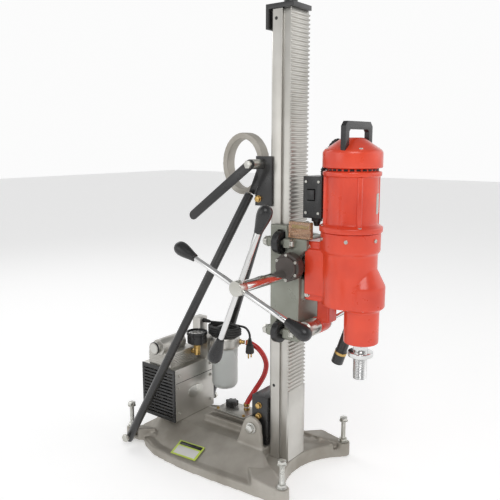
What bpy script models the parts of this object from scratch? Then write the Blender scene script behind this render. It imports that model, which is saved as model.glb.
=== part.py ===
"""Core drill rig: vacuum base, toothed column on an A-frame, geared motor on a crank-fed carriage.

Metres, +Z up. The column's axis meets the floor at the origin, the spindle side is -Y and
the feed handle is on the -X side.
"""
import math

import bmesh
import bpy
from mathutils import Matrix, Vector

# ---- driving sizes ----
GAP = 0.0003                # clearance between faces that touch
RUNNING = 0.0003            # radial clearance of a shaft in its bore

COLUMN_WIDTH = 0.0715
COLUMN_HEIGHT = 1.067
COLUMN_REAR = 0.030         # rear face, from the column's axis
COLUMN_FOOT = 0.0365        # the column's lower end above the floor
GROOVE_DEPTH = 0.008
GROOVE_REAR = -0.002
GROOVE_FRONT = -0.024
RACK_FACE = -0.030          # tips of the rack's teeth
RACK_TOOTHED_FROM = 0.208   # below this height the rack's face is plain
PRESSURE_ANGLE = math.radians(20)

BASE_HALF_WIDTH = 0.172
BASE_REAR = 0.405
RIM_HEIGHT = 0.022
CROWN_HEIGHT = 0.060
LAND_HEIGHT = 0.080         # raised land around the anchor slot
WELL_FLOOR = 0.036          # floor of the well that the column stands in
NOTCH_RADIUS = 0.168        # front notch, round the spindle axis
SLOT_HALF_WIDTH = 0.011
SLOT_FRONT = 0.125
SLOT_REAR = 0.247
SCREW_RADIUS = 0.006        # M12 levelling screws
SCREW_TOP = 0.104
FRONT_SCREW = (0.142, -0.0845)
REAR_SCREW = (0.128, 0.428)

PIVOT_Y = 0.065             # foot pivot of the column
PIVOT_Z = 0.108
PIVOT_BOLT = 0.008
EAR_INNER = 0.048
EAR_OUTER = 0.060

CLAMP_Y = 0.050             # upper pivot, where the brace and the clamp lever hang
CLAMP_Z = 0.762
CLAMP_BOLT = 0.006
CHEEK_THICKNESS = 0.0035
STAY_RADIUS = 0.011
STAY_FOOT = (0.165, 0.395, 0.030)
STAY_PIN = 0.006
STAY_PLAY = 0.0018          # play of the stays on their foot pins

SPINDLE_REACH = 0.199       # spindle axis to column axis
CARRIAGE_Z = 0.5325         # height of the feed pinion, the carriage's own reference
PLATE_THICKNESS = 0.012
ROLLER_RADIUS = 0.026
ROLLER_WIDTH = 0.018
ROLLER_HEIGHTS = {"upper": 0.0525, "lower": -0.1605}
AXLE_RADIUS = 0.006

RACK_MODULE = 0.003
PINION_TEETH = 12
CRANK_MODULE = 0.0015
CRANK_TEETH = 9
CRANK_WHEEL_TEETH = 18
CRANK_DIRECTION = math.radians(-63.4)
FAST_MODULE = 0.0015
ARMATURE_TEETH = 10
LAY_WHEEL_TEETH = 31
SLOW_MODULE = 0.0025
LAY_PINION_TEETH = 17
SPINDLE_TEETH = 34
BACKLASH = 0.0004

HANDLE_RADIUS = 0.0125
HANDLE_OUT = 0.238          # plane of the four spokes, from the column's axis
SPOKE_RADIUS = 0.006
SPOKE_REACH = 0.190
KNOB_RADIUS = 0.016
KNOB_LENGTH = 0.060

MOTOR_RADIUS = 0.058
MOTOR_WALL = 0.008
CAP_RADIUS = 0.0655
GEARBOX_RADIUS = 0.061
SPINDLE_RADIUS = 0.012
THREAD_RADIUS = 0.015875    # 1 1/4 inch bit thread
BARREL_RADIUS = 0.020
NOSE_RADIUS = 0.039

PUMP_LOW = (-0.079, 0.306, CROWN_HEIGHT + GAP)
PUMP_HIGH = (0.078, 0.430, 0.208)
PUMP_WALL = 0.004
JAR_CENTRE = (0.065, 0.253)
JAR_RADIUS = 0.0365
LID_OVERHANG = 0.0055        # the lid's rim beyond the jar
GAUGE_Y = 0.306
GAUGE_RADIUS = 0.029
GAUGE_CLEARANCE = 0.0061     # between the gauge's bezel and the jar's lid
CORD_RADIUS = 0.0031
GLAND_Z = 0.3115             # the cord passes over the hank's rear end before it joins the turns
HANK_LOW = 0.2823
HANK_TOP = 0.3149
HANK_HALF_WIDTH = 0.029
HANK_HALF_LENGTH = 0.054
POST_TOP = 0.3213
HOSE_RADIUS = 0.00725

# ---- sizes that follow ----
HALF = COLUMN_WIDTH / 2
GROOVE_X = HALF - GROOVE_DEPTH
COLUMN_TOP = COLUMN_FOOT + COLUMN_HEIGHT
PLATE_IN = HALF + 0.00225
PLATE_OUT = PLATE_IN + PLATE_THICKNESS
ROLLER_X = GROOVE_X + GAP + ROLLER_RADIUS
ROLLER_Y = (GROOVE_FRONT + GROOVE_REAR) / 2
RACK_ADDENDUM = 0.0018
RACK_DEDENDUM = 0.0024
PINION_PITCH = RACK_MODULE * PINION_TEETH / 2
PINION_Y = RACK_FACE + RACK_ADDENDUM - PINION_PITCH
CRANK_CENTRES = CRANK_MODULE * (CRANK_TEETH + CRANK_WHEEL_TEETH) / 2
HANDLE_Y = PINION_Y + CRANK_CENTRES * math.cos(CRANK_DIRECTION)
HANDLE_Z = CARRIAGE_Z + CRANK_CENTRES * math.sin(CRANK_DIRECTION)
SPINDLE_Y = -SPINDLE_REACH
LAY_Y = SPINDLE_Y + SLOW_MODULE * (LAY_PINION_TEETH + SPINDLE_TEETH) / 2
MOTOR_Y = LAY_Y - FAST_MODULE * (ARMATURE_TEETH + LAY_WHEEL_TEETH) / 2
CASE_IN = PLATE_OUT + GAP
CASE_OUT = CASE_IN + 0.0247
LID_RADIUS = JAR_RADIUS + LID_OVERHANG
GAUGE_X = JAR_CENTRE[0] - math.sqrt((LID_RADIUS + GAUGE_RADIUS + GAUGE_CLEARANCE) ** 2
                                    - (GAUGE_Y - JAR_CENTRE[1]) ** 2)

for old in list(bpy.data.objects):
    bpy.data.objects.remove(old, do_unlink=True)
rig = bpy.data.collections.new("core_drill_rig")
helpers = bpy.data.collections.new("cutters")
bpy.context.scene.collection.children.link(rig)
bpy.context.scene.collection.children.link(helpers)


def material(name, colour, roughness, metallic=0.0, alpha=1.0):
    made = bpy.data.materials.new(name)
    made.use_nodes = True
    shader = made.node_tree.nodes["Principled BSDF"]
    shader.inputs["Base Color"].default_value = (*colour, 1.0)
    shader.inputs["Roughness"].default_value = roughness
    shader.inputs["Metallic"].default_value = metallic
    shader.inputs["Alpha"].default_value = alpha
    return made


PAINT = material("orange_paint", (0.62, 0.06, 0.025), 0.35)
CAST = material("cast_aluminium", (0.33, 0.31, 0.27), 0.5, 0.7)
ALUMINIUM = material("aluminium", (0.55, 0.53, 0.48), 0.35, 1.0)
HAMMERED = material("hammered_grey", (0.30, 0.32, 0.27), 0.4, 0.3)
BLACK = material("black_paint", (0.012, 0.012, 0.013), 0.35)
STEEL = material("zinc_steel", (0.62, 0.62, 0.60), 0.3, 1.0)
CHROME = material("chrome", (0.80, 0.80, 0.80), 0.12, 1.0)
PLASTIC = material("black_plastic", (0.015, 0.015, 0.016), 0.3)
RUBBER = material("black_rubber", (0.02, 0.02, 0.02), 0.7)
HOSE = material("red_hose", (0.50, 0.03, 0.02), 0.35)
CASE = material("brown_case", (0.10, 0.07, 0.06), 0.4, 0.2)
FROSTED = material("frosted_plastic", (0.78, 0.80, 0.78), 0.4, 0.0, 0.6)
AMBER = material("amber_acrylic", (0.55, 0.33, 0.22), 0.15, 0.0, 0.7)
COPPER = material("lacquered_laminations", (0.30, 0.14, 0.07), 0.45, 0.4)


# ---- modelling helpers ----
def mesh_object(name, shape, where=(0, 0, 0)):
    """Turn a bmesh in world places into an object whose origin is at where."""
    bmesh.ops.translate(shape, verts=shape.verts, vec=-Vector(where))
    bmesh.ops.recalc_face_normals(shape, faces=shape.faces)
    mesh = bpy.data.meshes.new(name)
    shape.to_mesh(mesh)
    shape.free()
    made = bpy.data.objects.new(name, mesh)
    made.location = where
    helpers.objects.link(made)
    return made


def block(low, high):
    shape = bmesh.new()
    low, high = Vector(low), Vector(high)
    size = Matrix.Diagonal((*(high - low), 1.0))
    bmesh.ops.create_cube(shape, size=1.0, matrix=Matrix.Translation((low + high) / 2) @ size)
    return mesh_object("block", shape, (low + high) / 2)


def rod(start, end, radius, tip=None, segments=16):
    """A round bar or cone from start to end."""
    start, end = Vector(start), Vector(end)
    along = end - start
    turn = Vector((0, 0, 1)).rotation_difference(along.normalized()).to_matrix().to_4x4()
    shape = bmesh.new()
    bmesh.ops.create_cone(shape, cap_ends=True, segments=segments, radius1=radius,
                          radius2=radius if tip is None else tip, depth=along.length,
                          matrix=Matrix.Translation((start + end) / 2) @ turn)
    return mesh_object("rod", shape, (start + end) / 2)


def rod_x(low, high, y, z, radius, segments=16):
    return rod((low, y, z), (high, y, z), radius, segments=segments)


def rod_z(x, y, low, high, radius, segments=16):
    return rod((x, y, low), (x, y, high), radius, segments=segments)


def hex_head(start, end, across):
    return rod(start, end, across / math.sqrt(3), segments=6)


def hull(points):
    """The convex casting through a few corner points."""
    shape = bmesh.new()
    for point in points:
        shape.verts.new(point)
    found = bmesh.ops.convex_hull(shape, input=shape.verts)
    loose = [v for v in found["geom_interior"] + found["geom_unused"] if isinstance(v, bmesh.types.BMVert)]
    if loose:
        bmesh.ops.delete(shape, geom=list(set(loose)), context="VERTS")
    bmesh.ops.dissolve_limit(shape, angle_limit=math.radians(1), verts=shape.verts, edges=shape.edges)
    return mesh_object("hull", shape)


def circle(x, y, radius, count=16, start=0.0, sweep=2 * math.pi):
    """Points round an arc; a full circle leaves out the repeated end point."""
    steps = count if abs(sweep - 2 * math.pi) < 1e-9 else count - 1
    return [(x + radius * math.cos(start + sweep * i / steps),
             y + radius * math.sin(start + sweep * i / steps)) for i in range(count)]


PLANES = {
    "XY": Matrix.Identity(4),
    "XZ": Matrix(((1, 0, 0, 0), (0, 0, -1, 0), (0, 1, 0, 0), (0, 0, 0, 1))),
    "YZ": Matrix(((0, 0, 1, 0), (1, 0, 0, 0), (0, 1, 0, 0), (0, 0, 0, 1))),
}
NORMALS = {"XY": Vector((0, 0, 1)), "XZ": Vector((0, 1, 0)), "YZ": Vector((1, 0, 0))}


def extruded(loops, plane, low, high):
    """A flat outline, holes after it, pulled from low to high along the plane's normal."""
    curve = bpy.data.curves.new("outline", "CURVE")
    curve.dimensions = "2D"
    curve.fill_mode = "BOTH"
    curve.extrude = (high - low) / 2
    for loop in loops:
        spline = curve.splines.new("POLY")
        spline.points.add(len(loop) - 1)
        for point, (x, y) in zip(spline.points, loop):
            point.co = (x, y, 0, 1)
        spline.use_cyclic_u = True
    outline = bpy.data.objects.new("outline", curve)
    helpers.objects.link(outline)
    place = Matrix.Translation(NORMALS[plane] * (low + high) / 2) @ PLANES[plane]
    return curve_to_mesh(outline, place)


def curve_to_mesh(outline, place=Matrix.Identity(4)):
    bpy.context.view_layer.update()
    solid = bpy.data.meshes.new_from_object(outline.evaluated_get(bpy.context.evaluated_depsgraph_get()))
    shape = bmesh.new()
    shape.from_mesh(solid)
    bmesh.ops.transform(shape, matrix=place, verts=shape.verts)
    bmesh.ops.remove_doubles(shape, verts=shape.verts, dist=1e-6)
    bpy.data.objects.remove(outline, do_unlink=True)
    return mesh_object("solid", shape)


def turned(profile, base, along=(0, 0, 1), segments=24, closed=False):
    """A lathe-turned solid along a direction; its profile runs (radius, height) down the outer side."""
    mesh = bpy.data.meshes.new("profile")
    edges = [(i, i + 1) for i in range(len(profile) - 1)]
    if closed:
        edges.append((len(profile) - 1, 0))
    mesh.from_pydata([(r, 0, h) for r, h in profile], edges, [])
    made = bpy.data.objects.new("turned", mesh)
    made.location = base
    made.rotation_mode = "QUATERNION"
    made.rotation_quaternion = Vector((0, 0, 1)).rotation_difference(Vector(along))
    screw = made.modifiers.new("turn", "SCREW")
    screw.steps = segments
    screw.render_steps = segments
    screw.use_merge_vertices = True
    screw.merge_threshold = 0.00001
    helpers.objects.link(made)
    return made


def tube(points, radius, resolution=3):
    """A round tube along a smooth curve through the route's points."""
    curve = bpy.data.curves.new("route", "CURVE")
    curve.dimensions = "3D"
    curve.bevel_depth = radius
    curve.bevel_resolution = resolution
    curve.use_fill_caps = True
    spline = curve.splines.new("POLY")
    route = smooth_route([Vector(p) for p in points], radius * 5)
    spline.points.add(len(route) - 1)
    for point, place in zip(spline.points, route):
        point.co = (*place, 1)
    made = bpy.data.objects.new("tube", curve)
    helpers.objects.link(made)
    return made


def smooth_route(points, spacing):
    """Catmull-Rom curve through the points, read at about the given spacing."""
    padded = [2 * points[0] - points[1]] + points + [2 * points[-1] - points[-2]]
    route = []
    for i in range(1, len(padded) - 2):
        a, b, c, d = padded[i - 1:i + 3]
        steps = max(1, round((c - b).length / spacing))
        for k in range(steps):
            t = k / steps
            route.append(0.5 * (2 * b + (c - a) * t + (2 * a - 5 * b + 4 * c - d) * t ** 2
                                + (3 * b - a - 3 * c + d) * t ** 3))
    route.append(points[-1])
    return route


def boolean(body, tool, operation):
    if tool.name in rig.objects:
        rig.objects.unlink(tool)
        helpers.objects.link(tool)
    tool.hide_render = True
    tool.display_type = "WIRE"
    step = body.modifiers.new(operation.lower(), "BOOLEAN")
    step.operation = operation
    step.solver = "EXACT"
    step.object = tool
    return body


def fuse(body, *tools):
    for tool in tools:
        boolean(body, tool, "UNION")
    return body


def cut(body, *tools):
    for tool in tools:
        boolean(body, tool, "DIFFERENCE")
    return body


def part(name, made, finish, joint=None):
    """Name a finished sub-part, give it its material and put its origin on its joint."""
    made.name = name
    made.data.name = name
    made.data.materials.clear()
    made.data.materials.append(finish)
    helpers.objects.unlink(made)
    rig.objects.link(made)
    if joint is not None:
        made.data.transform(Matrix.Translation(made.location - Vector(joint)))
        made.location = joint
    return made


def involute(angle):
    return math.tan(angle) - angle


def gear_outline(teeth, module, addendum, dedendum, centre, phase):
    """Four corners a tooth; flanks are chords of the involute, thinned by the backlash."""
    pitch = teeth * module / 2
    base = pitch * math.cos(PRESSURE_ANGLE)
    half_pitch = (math.pi * module / 4 - BACKLASH / 2) / pitch

    def half_angle(radius):
        lean = math.acos(base / radius) if radius > base else 0.0
        return half_pitch + involute(PRESSURE_ANGLE) - involute(lean)

    points = []
    for i in range(teeth):
        middle = phase + 2 * math.pi * i / teeth
        root, tip = pitch - dedendum, pitch + addendum
        for radius, angle in ((root, -half_angle(root)), (tip, -half_angle(tip)),
                              (tip, half_angle(tip)), (root, half_angle(root))):
            points.append((centre[0] + radius * math.cos(middle + angle),
                           centre[1] + radius * math.sin(middle + angle)))
    return points


def gear(teeth, module, plane, centre, low, high, phase, addendum=None, dedendum=None):
    addendum = module * 0.8 if addendum is None else addendum
    dedendum = module if dedendum is None else dedendum
    return extruded([gear_outline(teeth, module, addendum, dedendum, centre, phase)], plane, low, high)


def mirrored(points):
    """A left half outline closed by its right half."""
    return points + [(-x, y) for x, y in reversed(points) if abs(x) > 1e-9]


# ---- vacuum base ----
def side_outline(inset=0.0):
    """The base's left side, rear to front."""
    w = BASE_HALF_WIDTH - inset
    rear = BASE_REAR - inset
    return [(-w + 0.092, rear + 0.031), (-w + 0.066, rear), (-w + 0.047, rear - 0.018),
            (-w + 0.029, rear - 0.043), (-w + 0.017, rear - 0.073), (-w + 0.009, rear - 0.093),
            (-w + 0.002, 0.250),
            (-w, 0.190), (-w + 0.002, 0.137), (-w + 0.005, 0.086), (-w + 0.010, 0.025),
            (-w + 0.013, -0.036)]


def base_casting():
    sx, sy = FRONT_SCREW
    rx, ry = REAR_SCREW
    plan = side_outline() + [(-sx - 0.017, sy - 0.004)]
    body = extruded([mirrored(plan)], "XY", 0.0, RIM_HEIGHT)

    crown = []
    for x, y in mirrored(side_outline(0.014)):
        crown.append((x, y, RIM_HEIGHT - 0.004))
        crown.append((x * 0.37, 0.030 + (y + 0.031) * 0.82, CROWN_HEIGHT))
    fuse(body, hull(crown))
    pad = [(-0.070, 0.060), (-0.112, -0.020), (-0.112, -0.080)]
    fuse(body, extruded([mirrored(pad)], "XY", 0.010, WELL_FLOOR + 0.004))
    well = [(-0.058, 0.030), (-0.100, -0.040), (-0.120, -0.090)]
    cut(body, extruded([mirrored(well)], "XY", WELL_FLOOR, CROWN_HEIGHT + 0.01))
    cut(body, rod_z(0, SPINDLE_Y, -0.01, WELL_FLOOR + 0.02, NOTCH_RADIUS, 48))
    land = block((-0.020, SLOT_FRONT - 0.010, RIM_HEIGHT), (0.085, SLOT_REAR + 0.011, LAND_HEIGHT))
    fuse(body, land)
    for side in (-1, 1):
        fuse(body, hull([(side * 0.158, -0.010, 0.012), (side * 0.158, -0.010, 0.044),
                         (side * 0.102, -0.034, 0.012), (side * 0.102, -0.034, 0.050),
                         (side * 0.120, 0.030, 0.012), (side * 0.120, 0.030, 0.042),
                         (side * (sx + 0.012), sy + 0.004, 0.012), (side * (sx + 0.012), sy + 0.004, 0.034),
                         (side * (sx - 0.012), sy + 0.006, 0.012), (side * (sx - 0.012), sy + 0.006, 0.034)]))
        fuse(body, rod_z(side * sx, sy, 0.002, 0.038, 0.0175))
        fuse(body, hull([(side * x, y, z) for z in (0.006, 0.030)
                         for x, y in ((0.080, 0.360), (0.118, 0.350), (0.100, 0.402),
                                      (rx + 0.010, ry), (rx - 0.012, ry + 0.006))]))
        fuse(body, rod_z(side * rx, ry, 0.002, 0.036, 0.016))
        fuse(body, hull([(side * x, y, z) for x, y, z in
                         ((0.105, 0.355, 0.008), (0.105, 0.355, 0.040), (0.110, 0.405, 0.008),
                          (0.110, 0.405, 0.040), (0.148, 0.383, 0.012), (0.148, 0.383, 0.046),
                          (0.148, 0.407, 0.012), (0.148, 0.407, 0.046))]))
        foot = CROWN_HEIGHT - 0.012
        profile = [(0.032, foot), (0.116, foot)] + circle(PIVOT_Y, PIVOT_Z, 0.028, 9,
                                                          math.radians(20), math.radians(140))
        ear = extruded([profile], "YZ", min(side * EAR_INNER, side * EAR_OUTER),
                       max(side * EAR_INNER, side * EAR_OUTER))
        fuse(body, ear)
    for x, y in (FRONT_SCREW, REAR_SCREW):
        for side in (-1, 1):
            cut(body, rod_z(side * x, y, -0.01, 0.06, SCREW_RADIUS + RUNNING, 12))
    for side in (-1, 1):
        cut(body, rod_x(side * 0.120, side * 0.160, STAY_FOOT[1], STAY_FOOT[2], STAY_PIN + RUNNING, 12))
    cut(body, rod_x(-0.07, 0.07, PIVOT_Y, PIVOT_Z, PIVOT_BOLT + RUNNING))
    cut(body, block((-SLOT_HALF_WIDTH, SLOT_FRONT, -0.01), (SLOT_HALF_WIDTH, SLOT_REAR, 0.10)))
    cut(body, extruded([rounded(0.118, 0.090, 0.352, 0.050)], "XY", -0.01, 0.012))
    cut(body, extruded([rounded(0.1415 + GAP, 0.070 - GAP, 0.372 + GAP, 0.060),
                        rounded(0.1295 - GAP, 0.082 + GAP, 0.360 - GAP, 0.048)], "XY", -0.01, 0.008 + GAP))
    cut(body, rod_z(0.057, 0.222, LAND_HEIGHT - 0.012, LAND_HEIGHT + 0.01, 0.0053))
    part("base_casting", body, CAST)


def rounded(half_width, front, rear, corner):
    """A rounded rectangle, centred on x = 0."""
    outline = []
    for x, y, start in ((half_width - corner, rear - corner, 0), (corner - half_width, rear - corner, 90),
                        (corner - half_width, front + corner, 180),
                        (half_width - corner, front + corner, 270)):
        outline += circle(x, y, corner, 5, math.radians(start), math.radians(90))
    return outline


def base_fittings():
    seal = extruded([rounded(0.1415, 0.070, 0.372, 0.060), rounded(0.1295, 0.082, 0.360, 0.048)],
                    "XY", 0.0, 0.008)
    part("base_seal", seal, RUBBER)
    bolt = rod_x(-0.0655, 0.0655, PIVOT_Y, PIVOT_Z, PIVOT_BOLT)
    for side in (-1, 1):
        x = side * (EAR_OUTER + GAP)
        fuse(bolt, rod((x, PIVOT_Y, PIVOT_Z), (x + side * 0.003, PIVOT_Y, PIVOT_Z), 0.0145))
        fuse(bolt, hex_head((x + side * 0.002, PIVOT_Y, PIVOT_Z), (x + side * 0.011, PIVOT_Y, PIVOT_Z),
                            0.019))
    part("foot_pivot_bolt", bolt, STEEL)
    for side, name in ((-1, "left"), (1, "right")):
        x, y, z = STAY_FOOT
        pin = rod_x(side * 0.125, side * 0.183, y, z, STAY_PIN, 12)
        fuse(pin, hex_head((side * 0.1795, y, z), (side * 0.187, y, z), 0.019))
        part("stay_pin_" + name, pin, STEEL)
    for end, (x, y) in (("front", FRONT_SCREW), ("rear", REAR_SCREW)):
        for side, name in ((-1, "left"), (1, "right")):
            screw = rod_z(side * x, y, 0.003, SCREW_TOP - 0.004, SCREW_RADIUS, 12)
            fuse(screw, hex_head((side * x, y, SCREW_TOP - 0.008), (side * x, y, SCREW_TOP), 0.019))
            part(f"level_screw_{end}_{name}", screw, STEEL, (side * x, y, SCREW_TOP))
    top = LAND_HEIGHT + GAP
    cover = block((SLOT_HALF_WIDTH + 0.0025, SLOT_FRONT + 0.020, top),
                  (0.083, SLOT_REAR + 0.003, top + 0.004))
    fuse(cover, rod_z(0.062, 0.173, top + 0.003, top + 0.0134, 0.0065, 12))
    cut(cover, rod_z(0.057, 0.222, top - 0.01, top + 0.02, 0.0053, 12))
    part("slot_cover", cover, ALUMINIUM)
    knob = rod_z(0.057, 0.222, LAND_HEIGHT - 0.009, top + 0.008, 0.005, 12)
    star = []
    for i in range(28):
        angle = 2 * math.pi * i / 28
        radius = 0.0165 + 0.0025 * math.cos(7 * angle)
        star.append((0.057 + radius * math.cos(angle), 0.222 + radius * math.sin(angle)))
    fuse(knob, extruded([star], "XY", top + 0.0055, top + 0.0195))
    part("valve_knob", knob, PLASTIC, (0.057, 0.222, top))


# ---- vacuum pump on the base ----
def pump():
    x0, y0, z0 = PUMP_LOW
    x1, y1, z1 = PUMP_HIGH
    wall = PUMP_WALL
    housing = block(PUMP_LOW, PUMP_HIGH)
    cut(housing, block((x0 - 0.01, y0 + wall, z0 + wall), (x0 + 0.060, y1 - wall, z1 - wall)))
    cut(housing, rod_x(x0 + 0.05, x0 + 0.090, (y0 + y1) / 2, (z0 + z1) / 2, 0.0053, 12))
    part("pump_housing", housing, ALUMINIUM)

    grille = block((x0 - 0.0040, y0, z0), (x0 - GAP, y1, z1))
    slots = bmesh.new()
    rows = 14
    pitch = (z1 - z0 - 0.016) / rows
    for i in range(rows):
        z = z0 + 0.008 + (i + 0.5) * pitch
        size = Matrix.Diagonal((0.02, y1 - y0 - 0.016, pitch * 0.45, 1))
        bmesh.ops.create_cube(slots, size=1, matrix=Matrix.Translation((x0, (y0 + y1) / 2, z)) @ size)
    cut(grille, mesh_object("slots", slots))
    part("pump_grille", grille, PLASTIC)

    centre = ((y0 + y1) / 2, (z0 + z1) / 2)
    fan = rod_x(x0 + 0.012, x0 + 0.086, *centre, 0.005, 12)
    fuse(fan, rod_x(x0 + 0.012, x0 + 0.030, *centre, 0.016, 12))
    for i in range(6):
        angle = math.pi * i / 3
        blade = block((x0 + 0.014, -0.0015, 0.010), (x0 + 0.028, 0.0015, 0.050))
        blade.matrix_world = (Matrix.Translation((0, *centre)) @ Matrix.Rotation(angle, 4, "X")
                              @ blade.matrix_basis)
        fuse(fan, blade)
    part("pump_fan", fan, PLASTIC, (x0 + 0.012, *centre))

    top = z1 + GAP
    head = block((x0 + 0.001, y0 + 0.019, top), (0.022, y1 - 0.025, top + 0.040))
    fuse(head, rod_x(x0 - 0.004, 0.004, y0 + 0.059, top + 0.054, 0.022))
    fuse(head, rod_x(x0 - 0.019, x0, y0 + 0.062, top + 0.054, 0.016))
    jx, jy = JAR_CENTRE
    reach = jy + LID_RADIUS + GAP
    fuse(head, block((jx - 0.025, reach + 0.0005, top), (jx + 0.025, y0 + 0.034, top + 0.0617)))
    fuse(head, block((0.010, y0 + 0.021, top), (jx + 0.015, y0 + 0.054, top + 0.038)))
    fuse(head, block((jx - 0.015, y0 + 0.025, top + 0.030), (jx + 0.015, y0 + 0.053, POST_TOP)))
    part("pump_head", head, ALUMINIUM)

    gx, gy = GAUGE_X, GAUGE_Y
    gauge = rod_z(gx, gy, 0.260, 0.297, GAUGE_RADIUS)
    cut(gauge, rod_z(gx, gy, 0.281, 0.31, GAUGE_RADIUS - 0.0025))
    fuse(gauge, rod_z(gx, gy, 0.229, 0.262, 0.009, 12))
    fuse(gauge, rod((gx, gy, 0.237), (gx, y0 + 0.0187, 0.237), 0.007, segments=12))
    fuse(gauge, rod_z(gx, gy, 0.279, 0.283, 0.002, 12))
    part("gauge_case", gauge, PLASTIC)
    needle = rod_z(gx, gy, 0.2845, 0.288, 0.003, 12)
    fuse(needle, block((gx - 0.0008, gy - 0.006, 0.285), (gx + 0.0008, gy + 0.020, 0.2864)))
    part("gauge_needle", needle, PLASTIC, (gx, gy, 0.285))

    lid_low, lid_high = 0.250, 0.282
    jar = rod_z(jx, jy, 0.135, lid_low - GAP, JAR_RADIUS, 32)
    cut(jar, rod_z(jx, jy, 0.139, lid_low + 0.01, JAR_RADIUS - 0.003, 32))
    part("filter_jar", jar, FROSTED)
    lid = rod_z(jx, jy, lid_low, lid_high, LID_RADIUS, 32)
    fuse(lid, rod((jx + 0.59 * 0.038, jy - 0.807 * 0.038, 0.263),
                  (jx + 0.59 * 0.058, jy - 0.807 * 0.058, 0.2606), 0.0055, segments=12))
    part("jar_lid", lid, ALUMINIUM)


HOSE_ROUTE = [(0.0994, 0.2059, 0.2605), (0.1041, 0.1995, 0.2595), (0.1095, 0.1905, 0.2560),
              (0.1160, 0.1745, 0.2450),
              (0.1205, 0.1600, 0.2270), (0.1215, 0.1515, 0.2080), (0.1180, 0.1490, 0.1920),
              (0.1100, 0.1500, 0.1740), (0.0990, 0.1550, 0.1560), (0.0870, 0.1610, 0.1390),
              (0.0755, 0.1670, 0.1220), (0.0665, 0.1710, 0.1090), (0.0620, 0.1730, 0.0990),
              (0.0620, 0.1730, 0.0941)]
LEAD_ROUTE = [(0.0899, 0.2083, 0.3080), (0.0899, 0.2013, 0.3072), (0.0899, 0.1944, 0.3038),
              (0.0899, 0.1887, 0.2981), (0.0899, 0.1850, 0.2910), (0.0899, 0.1840, 0.2840),
              (0.0899, 0.1840, 0.2790)]


def hose_and_cord():
    hose = tube(HOSE_ROUTE, HOSE_RADIUS)
    part("vacuum_hose", hose, HOSE)
    jx, jy = JAR_CENTRE
    straight = HANK_HALF_LENGTH - HANK_HALF_WIDTH
    gland = rod((jx, PUMP_LOW[1] + 0.025 - GAP, GLAND_Z), (jx, jy + HANK_HALF_LENGTH + GAP, GLAND_Z),
                0.0065, 0.0042, 12)
    part("cord_gland", gland, RUBBER)
    ends = (circle(jx, jy + straight, HANK_HALF_WIDTH, 9, 0, math.pi)
            + circle(jx, jy - straight, HANK_HALF_WIDTH, 9, math.pi, math.pi))
    part("cord_hank", extruded([ends], "XY", HANK_LOW, HANK_TOP), RUBBER)
    lead = tube(LEAD_ROUTE, CORD_RADIUS, 2)
    part("cord_lead", lead, RUBBER)
    start = Vector(LEAD_ROUTE[-1])
    along = (start - Vector(LEAD_ROUTE[-2])).normalized()
    plug = rod(start + along * GAP, start + along * 0.018, 0.0045, 0.0075, 12)
    fuse(plug, rod(start + along * 0.0175, start + along * 0.042, 0.010, 0.012, 12))
    across = Vector((1, 0, 0))
    for side in (-1, 1):
        offset = across * side * 0.0063
        fuse(plug, rod(start + along * 0.040 + offset, start + along * 0.056 + offset, 0.0022, segments=8))
    part("cord_plug", plug, RUBBER)


# ---- column ----
def column():
    front = GROOVE_FRONT + GAP
    half = [(-GROOVE_X, front), (-GROOVE_X, GROOVE_REAR), (-HALF, GROOVE_REAR), (-HALF, COLUMN_REAR - 0.007),
            (-HALF + 0.006, COLUMN_REAR)]
    hollow = [(-0.019, -0.016), (0.019, -0.016), (0.019, 0.022), (-0.019, 0.022)]
    profile = extruded([mirrored(half), hollow], "XY", COLUMN_FOOT, COLUMN_TOP)
    part("column_profile", profile, ALUMINIUM, (0, PIVOT_Y, PIVOT_Z))

    pitch = math.pi * RACK_MODULE
    line = RACK_FACE + RACK_ADDENDUM
    half_tooth = pitch / 4 - BACKLASH / 2
    slope = math.tan(PRESSURE_ANGLE)
    root = line + RACK_DEDENDUM
    outline = [(GROOVE_FRONT, COLUMN_TOP), (GROOVE_FRONT, COLUMN_FOOT), (RACK_FACE, COLUMN_FOOT)]
    first = math.ceil((RACK_TOOTHED_FROM - CARRIAGE_Z) / pitch - 0.5)
    last = math.floor((COLUMN_TOP - 0.004 - CARRIAGE_Z) / pitch - 0.5)
    for k in range(first, last + 1):
        z = CARRIAGE_Z + (k + 0.5) * pitch
        tip = half_tooth - RACK_ADDENDUM * slope
        foot = half_tooth + RACK_DEDENDUM * slope
        if k > first:
            outline += [(root, z - foot), (RACK_FACE, z - tip)]
        outline += [(RACK_FACE, z + tip), (root, z + foot)]
    outline += [(root, COLUMN_TOP)]
    rack = extruded([outline], "YZ", -HALF, HALF)
    part("feed_rack", rack, ALUMINIUM, (0, PIVOT_Y, PIVOT_Z))

    low = COLUMN_TOP + GAP
    cap = block((-HALF - 0.002, RACK_FACE - 0.002, low), (HALF + 0.002, COLUMN_REAR + 0.012, low + 0.011))
    fuse(cap, block((-HALF - 0.002, COLUMN_REAR + 0.004, low - 0.043),
                    (HALF + 0.002, COLUMN_REAR + 0.012, low + 0.010)))
    fuse(cap, rod_z(0, 0, low + 0.010, low + 0.026, 0.016))
    cut(cap, rod_z(0, 0, low - 0.01, low + 0.04, 0.0083))
    part("column_cap", cap, BLACK, (0, PIVOT_Y, PIVOT_Z))
    jack = rod_z(0, 0, low - 0.035, low + 0.036, 0.008, 12)
    fuse(jack, rod_z(0, 0, low + 0.034, low + 0.044, 0.014))
    part("jack_screw", jack, STEEL, (0, 0, low + 0.044))

    back = COLUMN_REAR + GAP
    foot = block((-0.040, back, PIVOT_Z - 0.044), (0.040, PIVOT_Y + 0.013, PIVOT_Z + 0.079))
    cut(foot, rod_x(-0.05, 0.05, PIVOT_Y, PIVOT_Z, PIVOT_BOLT + RUNNING))
    part("foot_block", foot, BLACK, (0, PIVOT_Y, PIVOT_Z))


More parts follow.
